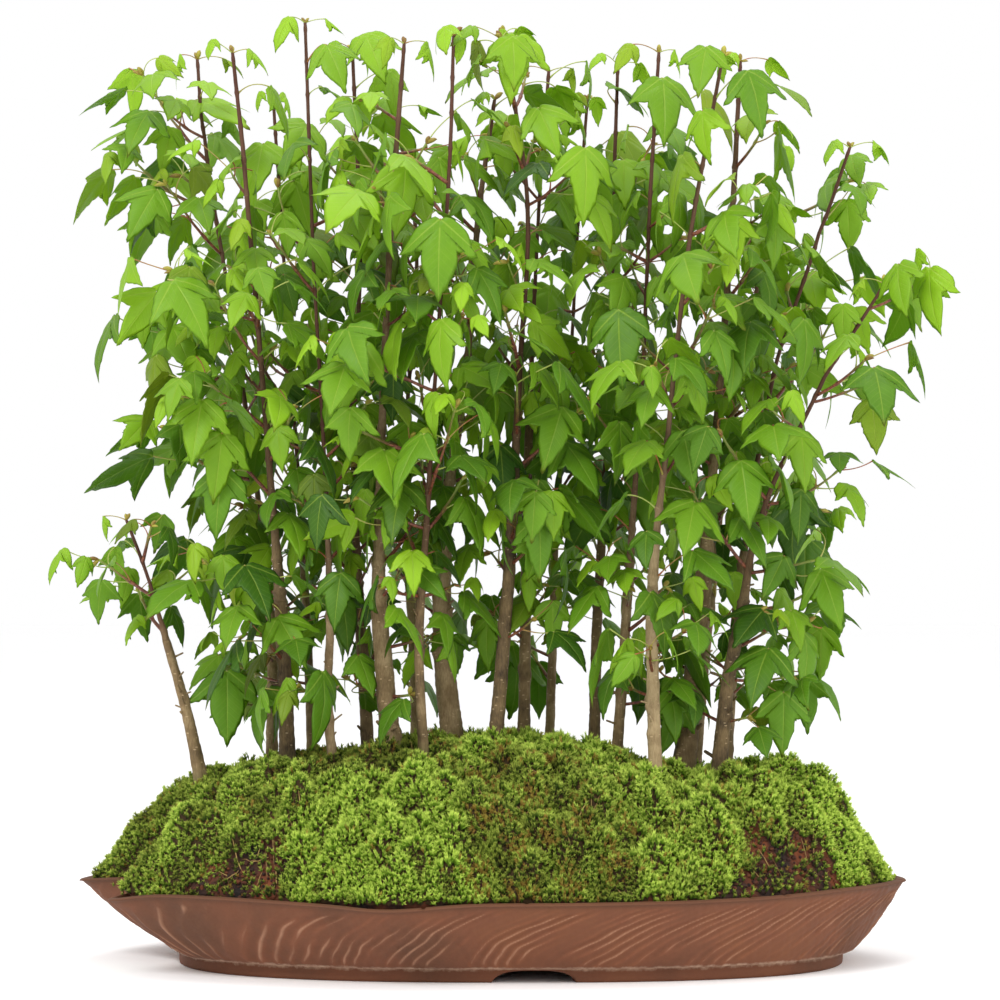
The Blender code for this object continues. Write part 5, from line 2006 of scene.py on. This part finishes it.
    def dress_twig(self, twig: Twig, crowd: Crowding) -> None:
        """Hangs pairs of leaves on a shoot and ends it with buds.

        Args:
            twig: The shoot.
            crowd: Spots already taken.
        """
        rng = self.rng
        start = rng.uniform(0, FULL_TURN)
        last = len(twig.line) - 1
        for order, node in enumerate(twig.nodes):
            ahead = twig.line[min(node + 1, last)] - twig.line[max(node - 1, 0)]
            ahead /= np.linalg.norm(ahead)
            side = np.cross(ahead, np.array([math.cos(start), math.sin(start), 0.2]))
            side /= np.linalg.norm(side)
            if order % 2:
                side = np.cross(ahead, side)
            end = node == last
            share = twig.line[node, 2] / self.height + 0.18 * order / len(twig.nodes)
            for hand in (-1.0, 1.0):
                if rng.random() < 0.86:
                    size = (rng.uniform(0.52, 0.92) if end else rng.uniform(0.74, 1.16)) * self.plan.leafy
                    self.hang(twig.line[node], side * hand, ahead, size, share, crowd)
        self.add_buds(twig.line[-1], ahead, 2)

    def hang(self, root: np.ndarray, way: np.ndarray, ahead: np.ndarray, size: float, share: float,
             crowd: Crowding) -> None:
        """Adds one leaf, turned and tilted until it clears its neighbours.

        Args:
            root: Node that the stalk grows from.
            way: Direction out from the shoot.
            ahead: Direction of the shoot.
            size: Blade length against the usual one.
            share: Height in the tree, for the leaf's age.
            crowd: Spots already taken.
        """
        rng = self.rng
        shape = self.shapes[int(rng.integers(len(self.shapes)))]
        owner = 1000 + self.number * 1000 + self.leaf_count
        best = None
        for attempt in range(self.tries):
            shrink = size * (1.0 - self.shrink_step * attempt)
            level = np.array([way[0], way[1], 0.0]) * 0.9 + np.array([0.0, -0.42, 0.0])
            level = level + np.append(rng.normal(0, 0.46, 2), 0.0)
            level /= max(np.linalg.norm(level), 1e-6)
            stalk = self.stalk_length * rng.uniform(0.6, 1.45) * (0.45 + 0.55 * shrink)
            first = way * 0.75 + ahead * 0.75
            first /= np.linalg.norm(first)
            bend = root + first * stalk * 0.55
            lift = rng.uniform(-0.35, 0.05) if share > 0.93 else rng.uniform(-0.15, 0.6)
            hold = bend + (level * 0.9 + np.array([0.0, 0.0, lift])) * stalk * 0.5
            pitch = -rng.uniform(0.25, 1.40)
            forward = level * math.cos(pitch) + np.array([0.0, 0.0, math.sin(pitch)])
            left = np.cross(np.array([0.0, 0.0, 1.0]), forward)
            left /= np.linalg.norm(left)
            up = np.cross(forward, left)
            roll = rng.normal(0, 0.38)
            left = left * math.cos(roll) + up * math.sin(roll)
            up = np.cross(forward, left)
            length = self.leaf_length * shrink
            tight = shrink < self.folded_below
            droop = rng.uniform(0.25, 0.95)
            fold = rng.uniform(2.6, 3.8) if tight else rng.uniform(0.5, 1.6)
            bent = shape.posed(droop, fold, rng.uniform(0, FULL_TURN)) * length
            world = hold + bent[:, 0:1] * forward + bent[:, 1:2] * left + bent[:, 2:3] * up
            probe = world[1 + len(shape.outline)::5][:22]
            inside = (np.abs(world) <= np.array(self.room)).all()
            if not inside:
                continue
            hits = crowd.clashes(probe, self.apart, owner)
            if best is None or hits < best[0]:
                best = (hits, world, probe, (root, bend, hold), shrink)
            if hits == 0:
                break
        if best is None or best[0] > self.touches_allowed:
            return
        _, world, probe, line, shrink = best
        crowd.add(probe, owner)
        self.leaf_count += 1
        youth = 0.28 if shrink < self.folded_below else 0.0
        age = np.clip(0.10 + 0.52 * share + rng.normal(0, 0.17) + youth, 0.0, 1.0)
        blush = 0.5 * rng.random() if rng.random() < 0.08 or (shrink < 0.55 and rng.random() < 0.3) else 0.0
        tip = np.clip((shape.flat[:, 0] - 0.86) / 0.14, 0.0, 1.0) * (0.7 if rng.random() < 0.25 else 0.0)
        self.blades.add(world, shape.blocks, shape.maps, youth=age, tint=rng.random(),
                        blush=np.maximum(tip, blush))
        a, b, c = line
        t = np.linspace(0.0, 1.0, 9)[:, None]
        curve = a * (1 - t) ** 2 + 2 * b * t * (1 - t) + c * t ** 2
        swell = np.array([1.9, 1.2, 1.0, 0.95, 0.9, 0.9, 0.95, 1.1, 1.25])
        radii = swell * self.stalk_radius * (0.6 + 0.4 * shrink)
        points, faces = tube(curve, radii, 5)
        self.stalks.add(points, faces, tint=rng.random())

    def add_buds(self, tip: np.ndarray, ahead: np.ndarray, count: int) -> None:
        """Adds folded young leaves at the end of a shoot.

        Args:
            tip: End of the shoot.
            ahead: Direction of the shoot.
            count: How many buds it carries.
        """
        rng = self.rng
        for _ in range(count):
            way = ahead + rng.normal(0, 0.35, 3)
            way /= np.linalg.norm(way)
            length = rng.uniform(0.004, 0.010)
            t = np.linspace(0.0, 1.0, 7)
            line = tip + way * (t * length)[:, None] + np.array([0, 0, -0.35]) * (t ** 2 * length)[:, None]
            radii = length * 0.17 * np.sin(math.pi * (0.08 + 0.90 * t)) ** 0.8
            points, faces = tube(line, radii, 6)
            self.buds.add(points, faces, tint=rng.random())

    def wood_spots(self) -> np.ndarray:
        """Spots along the stem and shoots that leaves keep clear of.

        Returns:
            The spots.
        """
        stem = self.at(np.arange(self.ground, self.top, 0.006))
        return np.vstack([stem] + [twig.line[3::3] for twig in self.twigs])


# ------------------------------------------------------------------------------ studio
@dataclass
class Studio:
    """A plain pale floor under even, soft daylight-white light, and the camera at tray height."""

    distance: float = 1.80
    eye: float = 0.215
    lens: float = 105.6
    look_at: float = 0.2795
    aside: float = 0.005
    sensor: float = 36.0
    light_aim: float = 0.28
    floor_radius: float = 30.0
    floor_sides: int = 96

    def build(self) -> None:
        """Builds the floor, the lights and the camera."""
        scene = bpy.context.scene
        floor_mesh = bpy.data.meshes.new("studio_floor")
        turns = np.arange(self.floor_sides) * FULL_TURN / self.floor_sides
        rim = [(self.floor_radius * math.cos(a), self.floor_radius * math.sin(a), 0.0) for a in turns]
        floor_mesh.from_pydata(rim, [], [tuple(range(self.floor_sides))])
        floor = bpy.data.objects.new("studio_floor", floor_mesh)
        scene.collection.objects.link(floor)
        tree, shader = Finish(name="matt_white_board", roughness=0.9).start()
        shader.inputs["Base Color"].default_value = linear("#ffffff")
        floor_mesh.materials.append(material_of(tree))
        world = bpy.data.worlds.new("soft_white")
        world.use_nodes = True
        back = world.node_tree.nodes["Background"]
        back.inputs["Color"].default_value = (1.0, 1.0, 1.0, 1.0)
        back.inputs["Strength"].default_value = 1.0
        scene.world = world
        scene.view_settings.view_transform = "Standard"
        self.light("key_softbox", (-1.3, -1.7, 2.1), 1.1, 42.0)
        self.light("fill_softbox", (1.8, -1.4, 1.2), 1.4, 17.0)
        self.light("top_softbox", (0.2, 0.5, 2.4), 1.6, 16.0)
        camera = bpy.data.cameras.new("camera")
        camera.lens, camera.sensor_width = self.lens, self.sensor
        view = bpy.data.objects.new("camera", camera)
        view.location = (self.aside, -self.distance, self.eye)
        tilt = math.atan2(self.look_at - self.eye, self.distance)
        view.rotation_euler = (math.pi / 2 + tilt, 0.0, 0.0)
        scene.collection.objects.link(view)
        scene.camera = view

    def light(self, name: str, spot: tuple[float, float, float], size: float, power: float) -> None:
        """Adds a square softbox that faces the planting.

        Args:
            name: Name of the light.
            spot: Where it stands.
            size: Side of the square.
            power: Watts.
        """
        lamp = bpy.data.lights.new(name, "AREA")
        lamp.shape, lamp.size, lamp.energy = "SQUARE", size, power
        holder = bpy.data.objects.new(name, lamp)
        holder.location = spot
        way = Vector((0, 0, self.light_aim)) - Vector(spot)
        holder.rotation_euler = way.to_track_quat("-Z", "Y").to_euler()
        bpy.context.scene.collection.objects.link(holder)


# ------------------------------------------------------------------------------ making it all
def main() -> None:
    """Builds the planting from the tray up, and the studio round it."""
    logging.basicConfig(level=logging.INFO, format="%(message)s")
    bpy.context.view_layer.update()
    form = TrayForm()
    Studio().build()
    ClayTray(form, UnglazedClay().make()).build()
    plastic = MouldedMesh().make()
    for side in ("left", "right"):
        screen = next(o for o in bpy.data.objects if o.name == f"drain_screen_{side}")
        for holder in screen.material_slots:
            holder.material = plastic
        log.info("%s keeps its CAD shape", screen.name)
    ground = Ground(form)
    straw = BudScale(name="dead_straw", brown="#6b4a22", straw="#b89a58").make()
    SoilMound(ground, PottingSoil().make(), straw).build()
    MossBed(ground, {
        Slot.MOSS_BRIGHT: MossGreen(name="living_moss_sunny").make(),
        Slot.MOSS_DEEP: MossGreen(name="living_moss_shaded").make(),
    }).build()
    wardrobe = Wardrobe(MapleBark().make(), YoungTwig().make(), LeafStalk().make(), MapleLeaf().make(),
                        BudScale().make())
    shapes = [LeafShape(seed) for seed in range(700, 716)]
    trees = [Maple(n, plan, form, wardrobe, shapes) for n, plan in enumerate(PLANS, start=1)]
    crowd = Crowding(cell=0.008)
    for tree in trees:
        tree.build_wood()
        tree.grow_twigs()
        crowd.add(tree.wood_spots(), tree.number)
    for tree in trees:
        tree.build_crown(crowd)
    log.info("%d leaves", sum(tree.leaf_count for tree in trees))
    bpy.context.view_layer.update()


if __name__ == "__main__":
    main()
